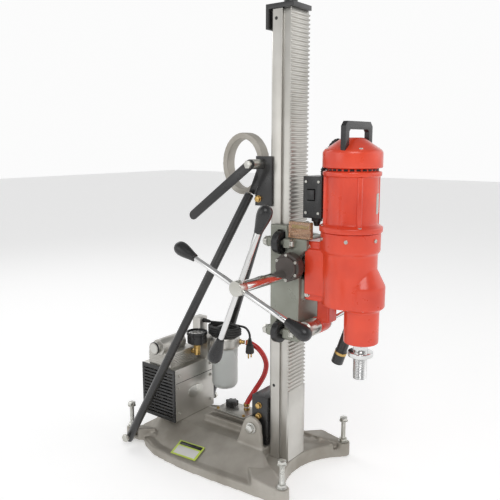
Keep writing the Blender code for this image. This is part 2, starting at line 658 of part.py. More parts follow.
# ---- bracket, ring, clamp lever and A-frame ----
def bracket():
    cheek_in = HALF + 0.00225
    cheek_out = cheek_in + CHEEK_THICKNESS
    web = COLUMN_REAR + GAP
    low, high = CLAMP_Z - 0.098, CLAMP_Z + 0.018
    body = block((-cheek_out, web, low), (cheek_out, web + 0.0055, high))
    for side in (-1, 1):
        x0, x1 = sorted((side * cheek_in, side * cheek_out))
        plate = [(0.020, low), (0.068, low), (0.068, low + 0.030), (0.060, low + 0.046),
                 (0.060, CLAMP_Z - 0.022),
                 (0.066, CLAMP_Z - 0.012), (0.066, high), (0.020, high)]
        fuse(body, extruded([plate], "YZ", x0, x1))
    fuse(body, block((-0.008, web + 0.004, CLAMP_Z - 0.072), (0.008, 0.0702, CLAMP_Z - 0.038)))
    cut(body, rod_x(-0.06, 0.06, CLAMP_Y, CLAMP_Z, CLAMP_BOLT + RUNNING))
    part("brace_bracket", body, BLACK, (0, CLAMP_Y, CLAMP_Z))

    oval = [(0.127 + 0.062 * math.cos(t), CLAMP_Z - 0.002 + 0.075 * math.sin(t))
            for t in (2 * math.pi * i / 36 for i in range(36))]
    hole = [(0.127 + 0.047 * math.cos(t), CLAMP_Z - 0.002 + 0.060 * math.sin(t))
            for t in (2 * math.pi * i / 36 for i in range(36))]
    ring = extruded([oval, hole], "YZ", -0.015, 0.015)
    fuse(ring, block((-0.008, 0.0702 + GAP, CLAMP_Z - 0.068), (0.008, 0.085, CLAMP_Z - 0.030)))
    part("carry_ring", ring, ALUMINIUM, (0, CLAMP_Y, CLAMP_Z))

    bolt = rod_x(-0.092, cheek_out + 0.010, CLAMP_Y, CLAMP_Z, CLAMP_BOLT, 12)
    fuse(bolt, rod_x(-0.0817, -cheek_out - GAP, CLAMP_Y, CLAMP_Z, 0.0115))
    fuse(bolt, hex_head((-0.0885, CLAMP_Y, CLAMP_Z), (-0.096, CLAMP_Y, CLAMP_Z), 0.017))
    fuse(bolt, hex_head((cheek_out + GAP, CLAMP_Y, CLAMP_Z), (cheek_out + 0.010, CLAMP_Y, CLAMP_Z), 0.019))
    part("bracket_pivot_bolt", bolt, STEEL)

    reach, fall = 0.176, -0.128
    turn = math.atan2(fall, reach)
    ends = (circle(CLAMP_Y, CLAMP_Z, 0.0115, 7, turn + math.pi / 2, math.pi)
            + circle(CLAMP_Y + reach, CLAMP_Z + fall, 0.0115, 7, turn - math.pi / 2, math.pi))
    lever = extruded([ends], "YZ", -0.088, -0.082)
    cut(lever, rod_x(-0.1, -0.07, CLAMP_Y, CLAMP_Z, CLAMP_BOLT + RUNNING, 12))
    part("clamp_lever", lever, BLACK, (-0.085, CLAMP_Y, CLAMP_Z))

    head = rod_x(-0.0365, 0.0365, CLAMP_Y, CLAMP_Z, 0.0125)
    for side, name in ((-1, "left"), (1, "right")):
        foot = Vector((side * STAY_FOOT[0], STAY_FOOT[1], STAY_FOOT[2]))
        origin = Vector((side * 0.029, CLAMP_Y, CLAMP_Z))
        down = (foot - origin).normalized()
        start = origin + down * 0.079
        stay = rod(start, foot + down * 0.014, STAY_RADIUS, segments=20)
        cut(stay, rod((foot.x - 0.03, foot.y, foot.z), (foot.x + 0.03, foot.y, foot.z), STAY_PIN + STAY_PLAY,
                      segments=12))
        part("stay_" + name, stay, BLACK, (0, CLAMP_Y, CLAMP_Z))
        across = Vector((0, -down.z, down.y)).normalized()
        corners = []
        for x in (0.031, 0.036):
            low = start - down * 0.0006
            corners += [(side * x, low.y + across.y * s, low.z + across.z * s) for s in (-0.008, 0.008)]
            corners += [(side * x, CLAMP_Y + 0.0115 * math.cos(t), CLAMP_Z + 0.0115 * math.sin(t))
                        for t in (math.pi * i / 4 for i in range(8))]
        fuse(head, hull(corners))
    cut(head, rod_x(-0.04, 0.04, CLAMP_Y, CLAMP_Z, CLAMP_BOLT + RUNNING, 12))
    part("brace_head", head, BLACK, (0, CLAMP_Y, CLAMP_Z))


# ---- carriage and feed ----
def up(offset):
    """A height given from the carriage's own reference."""
    return CARRIAGE_Z + offset


def carriage():
    low, high = up(-0.1795), up(0.0925)
    side_plate = [(0.017, low), (0.017, high), (-0.028, high), (-0.032, up(0.064)), (-0.083, up(0.064)),
                  (-0.083, up(0.040)), (-0.063, up(0.028)), (-0.063, up(-0.028)), (-0.048, up(-0.040)),
                  (-0.048, up(-0.080)), (-0.063, up(-0.094)), (-0.0635, low)]
    frame = extruded([side_plate], "YZ", -PLATE_OUT, -PLATE_IN)
    fuse(frame, extruded([side_plate], "YZ", PLATE_IN, PLATE_OUT))
    fuse(frame, block((-PLATE_OUT + 0.001, -0.0697, up(0.028)), (PLATE_OUT - 0.001, -0.050, up(0.063))))
    fuse(frame, block((-PLATE_OUT + 0.001, -0.0630, low + 0.001), (PLATE_OUT - 0.001, -0.040, up(-0.030))))
    fuse(frame, block((-0.036, -0.0697, up(-0.078)), (0.036, -0.060, up(-0.031))))
    for side in (-1, 1):
        for height in ROLLER_HEIGHTS.values():
            z = up(height)
            for y0, y1 in ((-0.046, -0.027), (0.001, 0.017)):
                x0, x1 = sorted((side * PLATE_IN, side * (ROLLER_X + 0.010)))
                fuse(frame, block((x0, y0, z - 0.011), (x1, y1, z + 0.011)))
            room = ROLLER_RADIUS + 0.002
            cut(frame, block((side * ROLLER_X - 0.029, ROLLER_Y - 0.011, z - room),
                             (side * ROLLER_X + 0.029, ROLLER_Y + 0.011, z + room)))
            fuse(frame, rod((side * ROLLER_X, -0.045, z), (side * ROLLER_X, 0.033, z), AXLE_RADIUS,
                            segments=12))
            fuse(frame, hex_head((side * ROLLER_X, 0.016, z), (side * ROLLER_X, 0.026, z), 0.019))
    for side in (-1, 1):
        x0, x1 = sorted((side * (PLATE_IN - 0.01), side * (PLATE_OUT + 0.01)))
        cut(frame, rod_x(x0, x1, PINION_Y, CARRIAGE_Z, 0.008 + RUNNING))
    cut(frame, rod_x(-PLATE_OUT - 0.01, -PLATE_IN + 0.01, HANDLE_Y, HANDLE_Z, 0.0053))
    part("carriage_frame", frame, HAMMERED, (0, 0, CARRIAGE_Z))

    for level, height in ROLLER_HEIGHTS.items():
        for side, name in ((-1, "left"), (1, "right")):
            x, z = side * ROLLER_X, up(height)
            y0, y1 = ROLLER_Y - ROLLER_WIDTH / 2, ROLLER_Y + ROLLER_WIDTH / 2
            roller = rod((x, y0, z), (x, y1, z), ROLLER_RADIUS, segments=32)
            cut(roller, rod((x, y0 - 0.01, z), (x, y1 + 0.01, z), AXLE_RADIUS + RUNNING, segments=12))
            part(f"roller_{level}_{name}", roller, PLASTIC, (x, ROLLER_Y, z))

    case = rod_x(-CASE_OUT, -CASE_IN, PINION_Y, CARRIAGE_Z, 0.032, 32)
    fuse(case, rod_x(-CASE_OUT - 0.006, -CASE_OUT + 0.002, PINION_Y, CARRIAGE_Z, 0.026, 32))
    inner, outer = -CASE_IN - 0.005, -CASE_OUT + 0.003
    cut(case, rod_x(outer, inner, PINION_Y, CARRIAGE_Z, 0.0155),
        rod_x(outer, inner, HANDLE_Y, HANDLE_Z, 0.0085))
    cut(case, rod_x(-CASE_IN - 0.010, -CASE_IN + 0.01, PINION_Y, CARRIAGE_Z, 0.008 + RUNNING))
    cut(case, rod_x(-CASE_OUT - 0.02, outer + 0.001, HANDLE_Y, HANDLE_Z, HANDLE_RADIUS + RUNNING))
    cut(case, rod_x(-CASE_IN - 0.010, -CASE_IN + 0.01, HANDLE_Y, HANDLE_Z, 0.0053, 12))
    part("gear_case", case, CASE)

    wheel_low, wheel_high = outer + 0.003, inner - 0.003
    shaft = rod_x(wheel_low - 0.001, PLATE_OUT - 0.004, PINION_Y, CARRIAGE_Z, 0.008)
    fuse(shaft, gear(PINION_TEETH, RACK_MODULE, "YZ", (PINION_Y, CARRIAGE_Z), -0.022, 0.022, 0.0,
                     RACK_ADDENDUM, RACK_DEDENDUM))
    fuse(shaft, gear(CRANK_WHEEL_TEETH, CRANK_MODULE, "YZ", (PINION_Y, CARRIAGE_Z), wheel_low, wheel_high,
                     CRANK_DIRECTION))
    part("pinion_shaft", shaft, STEEL, (0, PINION_Y, CARRIAGE_Z))

    crank = rod_x(-HANDLE_OUT - 0.008, outer - 0.002, HANDLE_Y, HANDLE_Z, HANDLE_RADIUS)
    fuse(crank, rod_x(-HANDLE_OUT - 0.012, -HANDLE_OUT + 0.012, HANDLE_Y, HANDLE_Z, 0.0165))
    fuse(crank, rod_x(outer - 0.003, -CASE_IN - 0.001, HANDLE_Y, HANDLE_Z, 0.005, 12))
    fuse(crank, gear(CRANK_TEETH, CRANK_MODULE, "YZ", (HANDLE_Y, HANDLE_Z), wheel_low, wheel_high,
                     CRANK_DIRECTION + math.pi + math.pi / CRANK_TEETH))
    hub = Vector((-HANDLE_OUT, HANDLE_Y, HANDLE_Z))
    knob = KNOB_LENGTH
    pear = [(0, knob), (0.007, knob * 0.985), (0.013, knob * 0.90), (KNOB_RADIUS, knob * 0.70),
            (0.0135, knob * 0.35), (0.009, 0.0), (0, 0.0)]
    ways = []
    for i in range(4):
        angle = math.radians(22.5 + 90 * i)
        ways.append(Vector((0, math.cos(angle), math.sin(angle))))
    bars = []
    for way in ways[:2]:
        end = way * (SPOKE_REACH - knob + 0.01)
        bars.append(rod(hub - end, hub + end, SPOKE_RADIUS, segments=12))
        cut(crank, rod(hub - way * 0.03, hub + way * 0.03, SPOKE_RADIUS + GAP, segments=12))
    spokes = fuse(*bars)
    for way in ways:
        fuse(spokes, turned(pear, hub + way * (SPOKE_REACH - knob), way, segments=12))
    part("handle_shaft", crank, CHROME, (0, HANDLE_Y, HANDLE_Z))
    part("handle_spokes", spokes, CHROME, (0, HANDLE_Y, HANDLE_Z))

    level = block((-PLATE_OUT, -0.092, up(0.064) + GAP), (-PLATE_IN + 0.001, -0.0335, high + 0.010))
    part("spirit_level", level, AMBER)


# ---- motor ----
def motor():
    r = MOTOR_RADIUS
    bore = r - MOTOR_WALL
    z = up
    shell = turned([(0.056, z(0.2245)), (0.056, z(0.2175)), (0.064, z(0.2175)), (0.064, z(0.2075)),
                    (r, z(0.2075)),
                    (r, z(0.1020)), (0.070, z(0.0975)), (0.070, z(0.0856)), (bore, z(0.0856)),
                    (bore, z(0.2245))],
                   (0, MOTOR_Y, 0), segments=28, closed=True)
    part("motor_housing", shell, PAINT)
    cap = turned([(0, z(0.2895)), (0.022, z(0.2895)), (CAP_RADIUS, z(0.2595)), (CAP_RADIUS, z(0.2248)),
                  (0.059, z(0.2248)), (0.059, z(0.2555)), (0.018, z(0.2815)), (0, z(0.2815))],
                 (0, MOTOR_Y, 0), segments=28)
    part("motor_cap", cap, PAINT)

    outer = [(-0.0615, z(0.262)), (-0.0615, z(0.3135)), (-0.0515, z(0.3235)), (0.0515, z(0.3235)),
             (0.0615, z(0.3135)), (0.0615, z(0.262)), (0.0445, z(0.262)), (0.0445, z(0.3015)),
             (0.0395, z(0.3065)),
             (-0.0395, z(0.3065)), (-0.0445, z(0.3015)), (-0.0445, z(0.262))]
    grip = extruded([outer], "XZ", MOTOR_Y - 0.0145, MOTOR_Y - 0.0035)
    rest = turned([(0, z(0.2900)), (0.022, z(0.2900)), (CAP_RADIUS + GAP, z(0.2602)),
                   (CAP_RADIUS + GAP, z(0.2248)),
                   (0, z(0.2248))], (0, MOTOR_Y, 0), segments=28)
    part("motor_handle", cut(grip, rest), PLASTIC)

    y_near, y_far = -0.059, MOTOR_Y + r + GAP
    box = block((-0.030, y_far, z(0.1105)), (0.030, y_near, z(0.2045)))
    cut(box, block((-0.035, -0.090, z(0.150)), (-0.024, -0.070, z(0.176))))
    part("switch_box", box, PLASTIC)
    rocker = block((-0.0325, -0.090 + 0.0006, z(0.152)), (-0.0262, -0.070 - 0.0006, z(0.174)))
    part("switch_rocker", rocker, PLASTIC, (-0.0275, -0.080, z(0.163)))

    stator = turned([(bore - GAP, z(0.178)), (bore - GAP, z(0.1175)), (0.0315, z(0.1175)),
                     (0.0315, z(0.178))],
                    (0, MOTOR_Y, 0), segments=28, closed=True)
    part("stator", stator, COPPER)
    armature = turned([(0, z(0.272)), (0.006, z(0.272)), (0.006, z(0.238)), (0.045, z(0.238)),
                       (0.045, z(0.229)),
                       (0.006, z(0.229)), (0.006, z(0.212)), (0.018, z(0.212)), (0.018, z(0.192)),
                       (0.006, z(0.192)),
                       (0.006, z(0.182)), (0.030, z(0.182)), (0.030, z(0.113)), (0.006, z(0.113)),
                       (0.006, z(0.004)),
                       (0, z(0.004))], (0, MOTOR_Y, 0), segments=24)
    fuse(armature, gear(ARMATURE_TEETH, FAST_MODULE, "XY", (0, MOTOR_Y), z(0.0055), z(0.0185), math.pi / 2,
                        dedendum=0.0012))
    part("armature", armature, STEEL)

    gearbox = turned([(0, z(0.0853)), (0.0665, z(0.0853)), (0.0665, z(0.0425)), (GEARBOX_RADIUS, z(0.0375)),
                      (GEARBOX_RADIUS, z(-0.0825)), (0, z(-0.0825))], (0, MOTOR_Y, 0), segments=28)
    nose = turned([(0, z(0.0075)), (0.030, z(0.0075)), (0.050, z(-0.0325)), (0.050, z(-0.0805)),
                   (NOSE_RADIUS, z(-0.0885)),
                   (NOSE_RADIUS, z(-0.1625)), (0, z(-0.1625))], (0, SPINDLE_Y, 0), segments=28)
    fuse(gearbox, nose)
    fuse(gearbox, block((-0.036, MOTOR_Y + 0.03, z(-0.0780)), (0.036, -0.070, z(0.0595))))
    fuse(gearbox, block((-0.009, -0.120, z(-0.135)), (0.029, -0.088, z(-0.070))))
    fuse(gearbox, rod_x(-0.010, 0.030, -0.084 - 0.0005, z(-0.1445), BARREL_RADIUS))
    cavity_low, cavity_high = z(-0.0765), z(-0.0345)
    cut(gearbox, rod_z(0, SPINDLE_Y, cavity_low, cavity_high, 0.0465, 32))
    cut(gearbox, rod_z(0, LAY_Y, cavity_low, z(0.0430), 0.0262, 32))
    cut(gearbox, rod_z(0, MOTOR_Y, z(0.0010), z(0.0800), 0.0105))
    cut(gearbox, rod_z(0, MOTOR_Y, z(0.0700), z(0.0900), 0.0075))
    cut(gearbox, rod_z(0, SPINDLE_Y, z(-0.17), z(-0.070), SPINDLE_RADIUS + RUNNING))
    cut(gearbox, rod_z(0, SPINDLE_Y, z(-0.17), z(-0.1420), 0.0263, 24))
    cut(gearbox, rod_x(-0.012, 0.032, -0.0845, z(-0.1445), 0.008 + RUNNING))
    part("gearbox_housing", gearbox, PAINT)

    lay = rod_z(0, LAY_Y, z(-0.0740), z(0.0400), 0.006, 12)
    fuse(lay, gear(LAY_PINION_TEETH, SLOW_MODULE, "XY", (0, LAY_Y), z(-0.0625), z(-0.0485), -math.pi / 2))
    fuse(lay, gear(LAY_WHEEL_TEETH, FAST_MODULE, "XY", (0, LAY_Y), z(0.0075), z(0.0165),
                   -math.pi / 2 + math.pi / LAY_WHEEL_TEETH))
    part("layshaft", lay, STEEL, (0, LAY_Y, CARRIAGE_Z))

    t = THREAD_RADIUS
    spindle = turned([(0, z(-0.0400)), (SPINDLE_RADIUS, z(-0.0400)), (SPINDLE_RADIUS, z(-0.1635)),
                      (0.017, z(-0.1635)), (0.017, z(-0.1850)), (0.029, z(-0.1850)), (0.029, z(-0.1965)),
                      (t, z(-0.1965)), (t, z(-0.2495)), (0, z(-0.2495))], (0, SPINDLE_Y, 0), segments=32)
    fuse(spindle, gear(SPINDLE_TEETH, SLOW_MODULE, "XY", (0, SPINDLE_Y), z(-0.0625), z(-0.0485),
                       math.pi / 2 + math.pi / SPINDLE_TEETH))
    part("spindle", spindle, CHROME)
    bearing = turned([(0.026, z(-0.1423)), (0.026, z(-0.1610)), (SPINDLE_RADIUS + RUNNING, z(-0.1610)),
                      (SPINDLE_RADIUS + RUNNING, z(-0.1423))], (0, SPINDLE_Y, 0), segments=24, closed=True)
    part("spindle_bearing", bearing, STEEL)

    barrel = rod_x(-0.062, -0.0103, -0.0845, z(-0.1445), BARREL_RADIUS)
    fuse(barrel, rod_x(-0.012, 0.030, -0.0845, z(-0.1445), 0.008))
    part("mount_barrel", barrel, STEEL)
    dome = rod_x(0.0303, 0.040, -0.0845, z(-0.1445), 0.019)
    fuse(dome, rod((0.038, -0.0845, z(-0.1445)), (0.050, -0.0845, z(-0.1445)), 0.019, 0.009))
    fuse(dome, rod((0.041, -0.0855, z(-0.1440)), (0.047, -0.141, z(-0.1085)), 0.0065, 0.005, 12))
    part("mount_lever", dome, CHROME, (0.040, -0.0845, z(-0.1445)))

    water = rod((0.045, -0.147, z(-0.150)), (0.045, -0.125, z(-0.2125)), 0.013)
    fuse(water, rod((0.045, -0.1257, z(-0.2105)), (0.045, -0.1145, z(-0.2425)), 0.0145))
    toward = (Vector((0, SPINDLE_Y, 0)) - Vector((0.045, -0.150, 0))).normalized()
    inlet = Vector((0.045, -0.150, z(-0.158)))
    distance = math.hypot(inlet.x, inlet.y - SPINDLE_Y)
    fuse(water, rod(inlet, inlet + toward * (distance - NOSE_RADIUS - GAP - 0.0001), 0.0045, segments=12))
    part("water_pipe", water, BLACK)


base_casting()
base_fittings()
pump()
hose_and_cord()
column()
bracket()
carriage()
motor()
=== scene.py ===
import math

import bmesh
import bpy
from mathutils import Matrix, Vector


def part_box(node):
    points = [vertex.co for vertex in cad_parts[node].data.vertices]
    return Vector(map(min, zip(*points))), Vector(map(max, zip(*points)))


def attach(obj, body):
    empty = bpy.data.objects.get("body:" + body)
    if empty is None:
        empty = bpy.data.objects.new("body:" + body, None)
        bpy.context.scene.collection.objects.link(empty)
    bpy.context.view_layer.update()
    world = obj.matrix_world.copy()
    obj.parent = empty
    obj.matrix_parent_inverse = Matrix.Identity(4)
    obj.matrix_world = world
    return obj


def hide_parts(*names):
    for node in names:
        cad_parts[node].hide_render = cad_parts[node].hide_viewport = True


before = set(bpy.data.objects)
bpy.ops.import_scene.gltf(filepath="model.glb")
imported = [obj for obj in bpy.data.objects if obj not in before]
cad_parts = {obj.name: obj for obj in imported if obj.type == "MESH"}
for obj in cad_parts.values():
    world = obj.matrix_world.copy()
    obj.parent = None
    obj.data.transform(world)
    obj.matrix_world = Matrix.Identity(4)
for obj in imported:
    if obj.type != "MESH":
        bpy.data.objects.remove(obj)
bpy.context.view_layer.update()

print("stage: frame loaded")

# camera, floor and light
shot = {"place": (-1.2295, -0.8236, 0.8138), "azimuth": -52.65, "elevation": 9.83, "lens": 45.16}


def makeCamera():
    turn, rise = math.radians(shot["azimuth"]), math.radians(shot["elevation"])
    back = Vector((math.sin(turn) * math.cos(rise), -math.cos(turn) * math.cos(rise), math.sin(rise)))
    camera = bpy.data.objects.new("camera", bpy.data.cameras.new("camera"))
    camera.data.lens = shot["lens"]
    camera.data.sensor_width = 36
    camera.location = shot["place"]
    camera.rotation_mode = "QUATERNION"
    camera.rotation_quaternion = (-back).to_track_quat("-Z", "Y")
    bpy.context.scene.collection.objects.link(camera)
    bpy.context.scene.camera = camera


studio = {
    "key": {"place": (-1.9, -1.5, 2.5), "size": 1.6, "power": 34},
    "fill": {"place": (1.8, -2.0, 1.7), "size": 2.2, "power": 9},
    "rim": {"place": (0.6, 2.4, 2.3), "size": 1.5, "power": 14},
    "side": {"place": (-2.6, 0.9, 1.2), "size": 1.4, "power": 5},
}


room = {"wall": 0.97, "ceiling": 0.36, "curtain": (-0.79, -0.58, 0.15), "curtainShare": 0.38}


# the room's brightness towards one direction, so that metal has something dark to reflect
def skyPart(tree, way, towards, span, values):
    dot = tree.nodes.new("ShaderNodeVectorMath")
    dot.operation = "DOT_PRODUCT"
    dot.inputs[1].default_value = towards
    tree.links.new(way, dot.inputs[0])
    node = tree.nodes.new("ShaderNodeMapRange")
    node.interpolation_type = "SMOOTHSTEP"
    tree.links.new(dot.outputs["Value"], node.inputs["Value"])
    for socket, value in zip(("From Min", "From Max", "To Min", "To Max"), (*span, *values)):
        node.inputs[socket].default_value = value
    return node.outputs["Result"]


def makeStudio():
    for name, lamp in studio.items():
        data = bpy.data.lights.new(name, "AREA")
        data.energy = lamp["power"]
        data.size = lamp["size"]
        light = bpy.data.objects.new(name, data)
        light.location = lamp["place"]
        light.rotation_mode = "QUATERNION"
        aim = Vector((0, 0, 0.5)) - Vector(lamp["place"])
        light.rotation_quaternion = aim.to_track_quat("-Z", "Y")
        bpy.context.scene.collection.objects.link(light)
    world = bpy.data.worlds.new("studio")
    world.use_nodes = True
    tree = world.node_tree
    tree.nodes["Background"].inputs["Color"].default_value = (1, 1, 1, 1)
    way = tree.nodes.new("ShaderNodeTexCoord").outputs["Generated"]
    wall = skyPart(tree, way, (0, 0, 1), (0.30, 0.75), (room["wall"], room["ceiling"]))
    dark = skyPart(tree, way, room["curtain"], (0.45, 0.90), (1.0, room["curtainShare"]))
    product = tree.nodes.new("ShaderNodeMath")
    product.operation = "MULTIPLY"
    tree.links.new(wall, product.inputs[0])
    tree.links.new(dark, product.inputs[1])
    tree.links.new(product.outputs[0], tree.nodes["Background"].inputs["Strength"])
    bpy.context.scene.world = world
    bpy.context.scene.view_settings.view_transform = "Standard"
    shape = bmesh.new()
    bmesh.ops.create_grid(shape, x_segments=1, y_segments=1, size=12)
    mesh = bpy.data.meshes.new("floor")
    shape.to_mesh(mesh)
    shape.free()
    floor = bpy.data.objects.new("floor", mesh)
    floor.location.z = -0.0006
    pale = bpy.data.materials.new("pale_floor")
    pale.use_nodes = True
    pale.node_tree.nodes["Principled BSDF"].inputs["Base Color"].default_value = (0.86, 0.86, 0.86, 1)
    pale.node_tree.nodes["Principled BSDF"].inputs["Roughness"].default_value = 0.7
    pale.node_tree.nodes["Principled BSDF"].inputs["Emission Color"].default_value = (1, 1, 1, 1)
    pale.node_tree.nodes["Principled BSDF"].inputs["Emission Strength"].default_value = 0.34
    mesh.materials.append(pale)
    bpy.context.scene.collection.objects.link(floor)


makeCamera()
makeStudio()
print("stage: camera and light")


# shader node groups that the finishes share
def newGroup(name, inputs, outputs):
    group = bpy.data.node_groups.new(name, "ShaderNodeTree")
    for socket, kind, value in inputs:
        made = group.interface.new_socket(socket, in_out="INPUT", socket_type=kind)
        made.default_value = value
    for socket, kind in outputs:
        group.interface.new_socket(socket, in_out="OUTPUT", socket_type=kind)
    entry = group.nodes.new("NodeGroupInput")
    exit = group.nodes.new("NodeGroupOutput")
    return group, entry, exit


def wire(tree, source, target):
    tree.links.new(source, target)


def remap(tree, value, low, high, newLow, newHigh):
    node = tree.nodes.new("ShaderNodeMapRange")
    wire(tree, value, node.inputs["Value"])
    for socket, given in (("From Min", low), ("From Max", high), ("To Min", newLow), ("To Max", newHigh)):
        if isinstance(given, (int, float)):
            node.inputs[socket].default_value = given
        else:
            wire(tree, given, node.inputs[socket])
    return node.outputs["Result"]


def noiseAt(tree, scale, detail=4.0, stretch=(1, 1, 1)):
    place = tree.nodes.new("ShaderNodeTexCoord")
    mapping = tree.nodes.new("ShaderNodeMapping")
    mapping.inputs["Scale"].default_value = stretch
    noise = tree.nodes.new("ShaderNodeTexNoise")
    noise.inputs["Detail"].default_value = detail
    wire(tree, place.outputs["Object"], mapping.inputs["Vector"])
    wire(tree, mapping.outputs["Vector"], noise.inputs["Vector"])
    if isinstance(scale, (int, float)):
        noise.inputs["Scale"].default_value = scale
    else:
        wire(tree, scale, noise.inputs["Scale"])
    return noise.outputs["Fac"]


def makeWearGroup():
    group, entry, exit = newGroup(
        "edgeWear", [("Radius", "NodeSocketFloat", 0.001), ("Amount", "NodeSocketFloat", 0.5)],
        [("Mask", "NodeSocketFloat"), ("Normal", "NodeSocketVector")])
    bevel = group.nodes.new("ShaderNodeBevel")
    bevel.samples = 4
    wire(group, entry.outputs["Radius"], bevel.inputs["Radius"])
    flat = group.nodes.new("ShaderNodeNewGeometry")
    dot = group.nodes.new("ShaderNodeVectorMath")
    dot.operation = "DOT_PRODUCT"
    wire(group, bevel.outputs["Normal"], dot.inputs[0])
    wire(group, flat.outputs["Normal"], dot.inputs[1])
    edge = remap(group, dot.outputs["Value"], 0.985, 0.80, 0.0, 1.0)
    patch = remap(group, noiseAt(group, 55.0, 6.0), 0.46, 0.62, 0.0, 1.0)
    both = group.nodes.new("ShaderNodeMath")
    both.operation = "MULTIPLY"
    wire(group, edge, both.inputs[0])
    wire(group, patch, both.inputs[1])
    scaled = group.nodes.new("ShaderNodeMath")
    scaled.operation = "MULTIPLY"
    scaled.use_clamp = True
    wire(group, both.outputs["Value"], scaled.inputs[0])
    wire(group, entry.outputs["Amount"], scaled.inputs[1])
    wire(group, scaled.outputs["Value"], exit.inputs["Mask"])
    wire(group, bevel.outputs["Normal"], exit.inputs["Normal"])
    return group


def makeGrainGroup(name, stretch):
    group, entry, exit = newGroup(
        name, [("Scale", "NodeSocketFloat", 300.0), ("Smooth", "NodeSocketFloat", 0.3),
               ("Rough", "NodeSocketFloat", 0.5)],
        [("Height", "NodeSocketFloat"), ("Roughness", "NodeSocketFloat"), ("Blotch", "NodeSocketFloat")])
    fine = noiseAt(group, entry.outputs["Scale"], 5.0, stretch)
    wire(group, fine, exit.inputs["Height"])
    wire(group, remap(group, noiseAt(group, 32.0, 5.0, stretch), 0.3, 0.7, entry.outputs["Smooth"],
                      entry.outputs["Rough"]), exit.inputs["Roughness"])
    wire(group, remap(group, noiseAt(group, 9.0, 6.0), 0.35, 0.7, 0.0, 1.0), exit.inputs["Blotch"])
    return group


def makeHammerGroup():
    group, entry, exit = newGroup("hammeredDimples", [("Scale", "NodeSocketFloat", 260.0)],
                                  [("Height", "NodeSocketFloat")])
    place = group.nodes.new("ShaderNodeTexCoord")
    cells = group.nodes.new("ShaderNodeTexVoronoi")
    cells.feature = "SMOOTH_F1"
    wire(group, place.outputs["Object"], cells.inputs["Vector"])
    wire(group, entry.outputs["Scale"], cells.inputs["Scale"])
    wire(group, cells.outputs["Distance"], exit.inputs["Height"])
    return group


wearGroup = makeWearGroup()
grainGroups = {
    "even": makeGrainGroup("evenGrain", (1, 1, 1)),
    "drawn": makeGrainGroup("drawnGrain", (1, 1, 0.03)),
    "turned": makeGrainGroup("turnedGrain", (0.05, 1, 1)),
}
hammerGroup = makeHammerGroup()

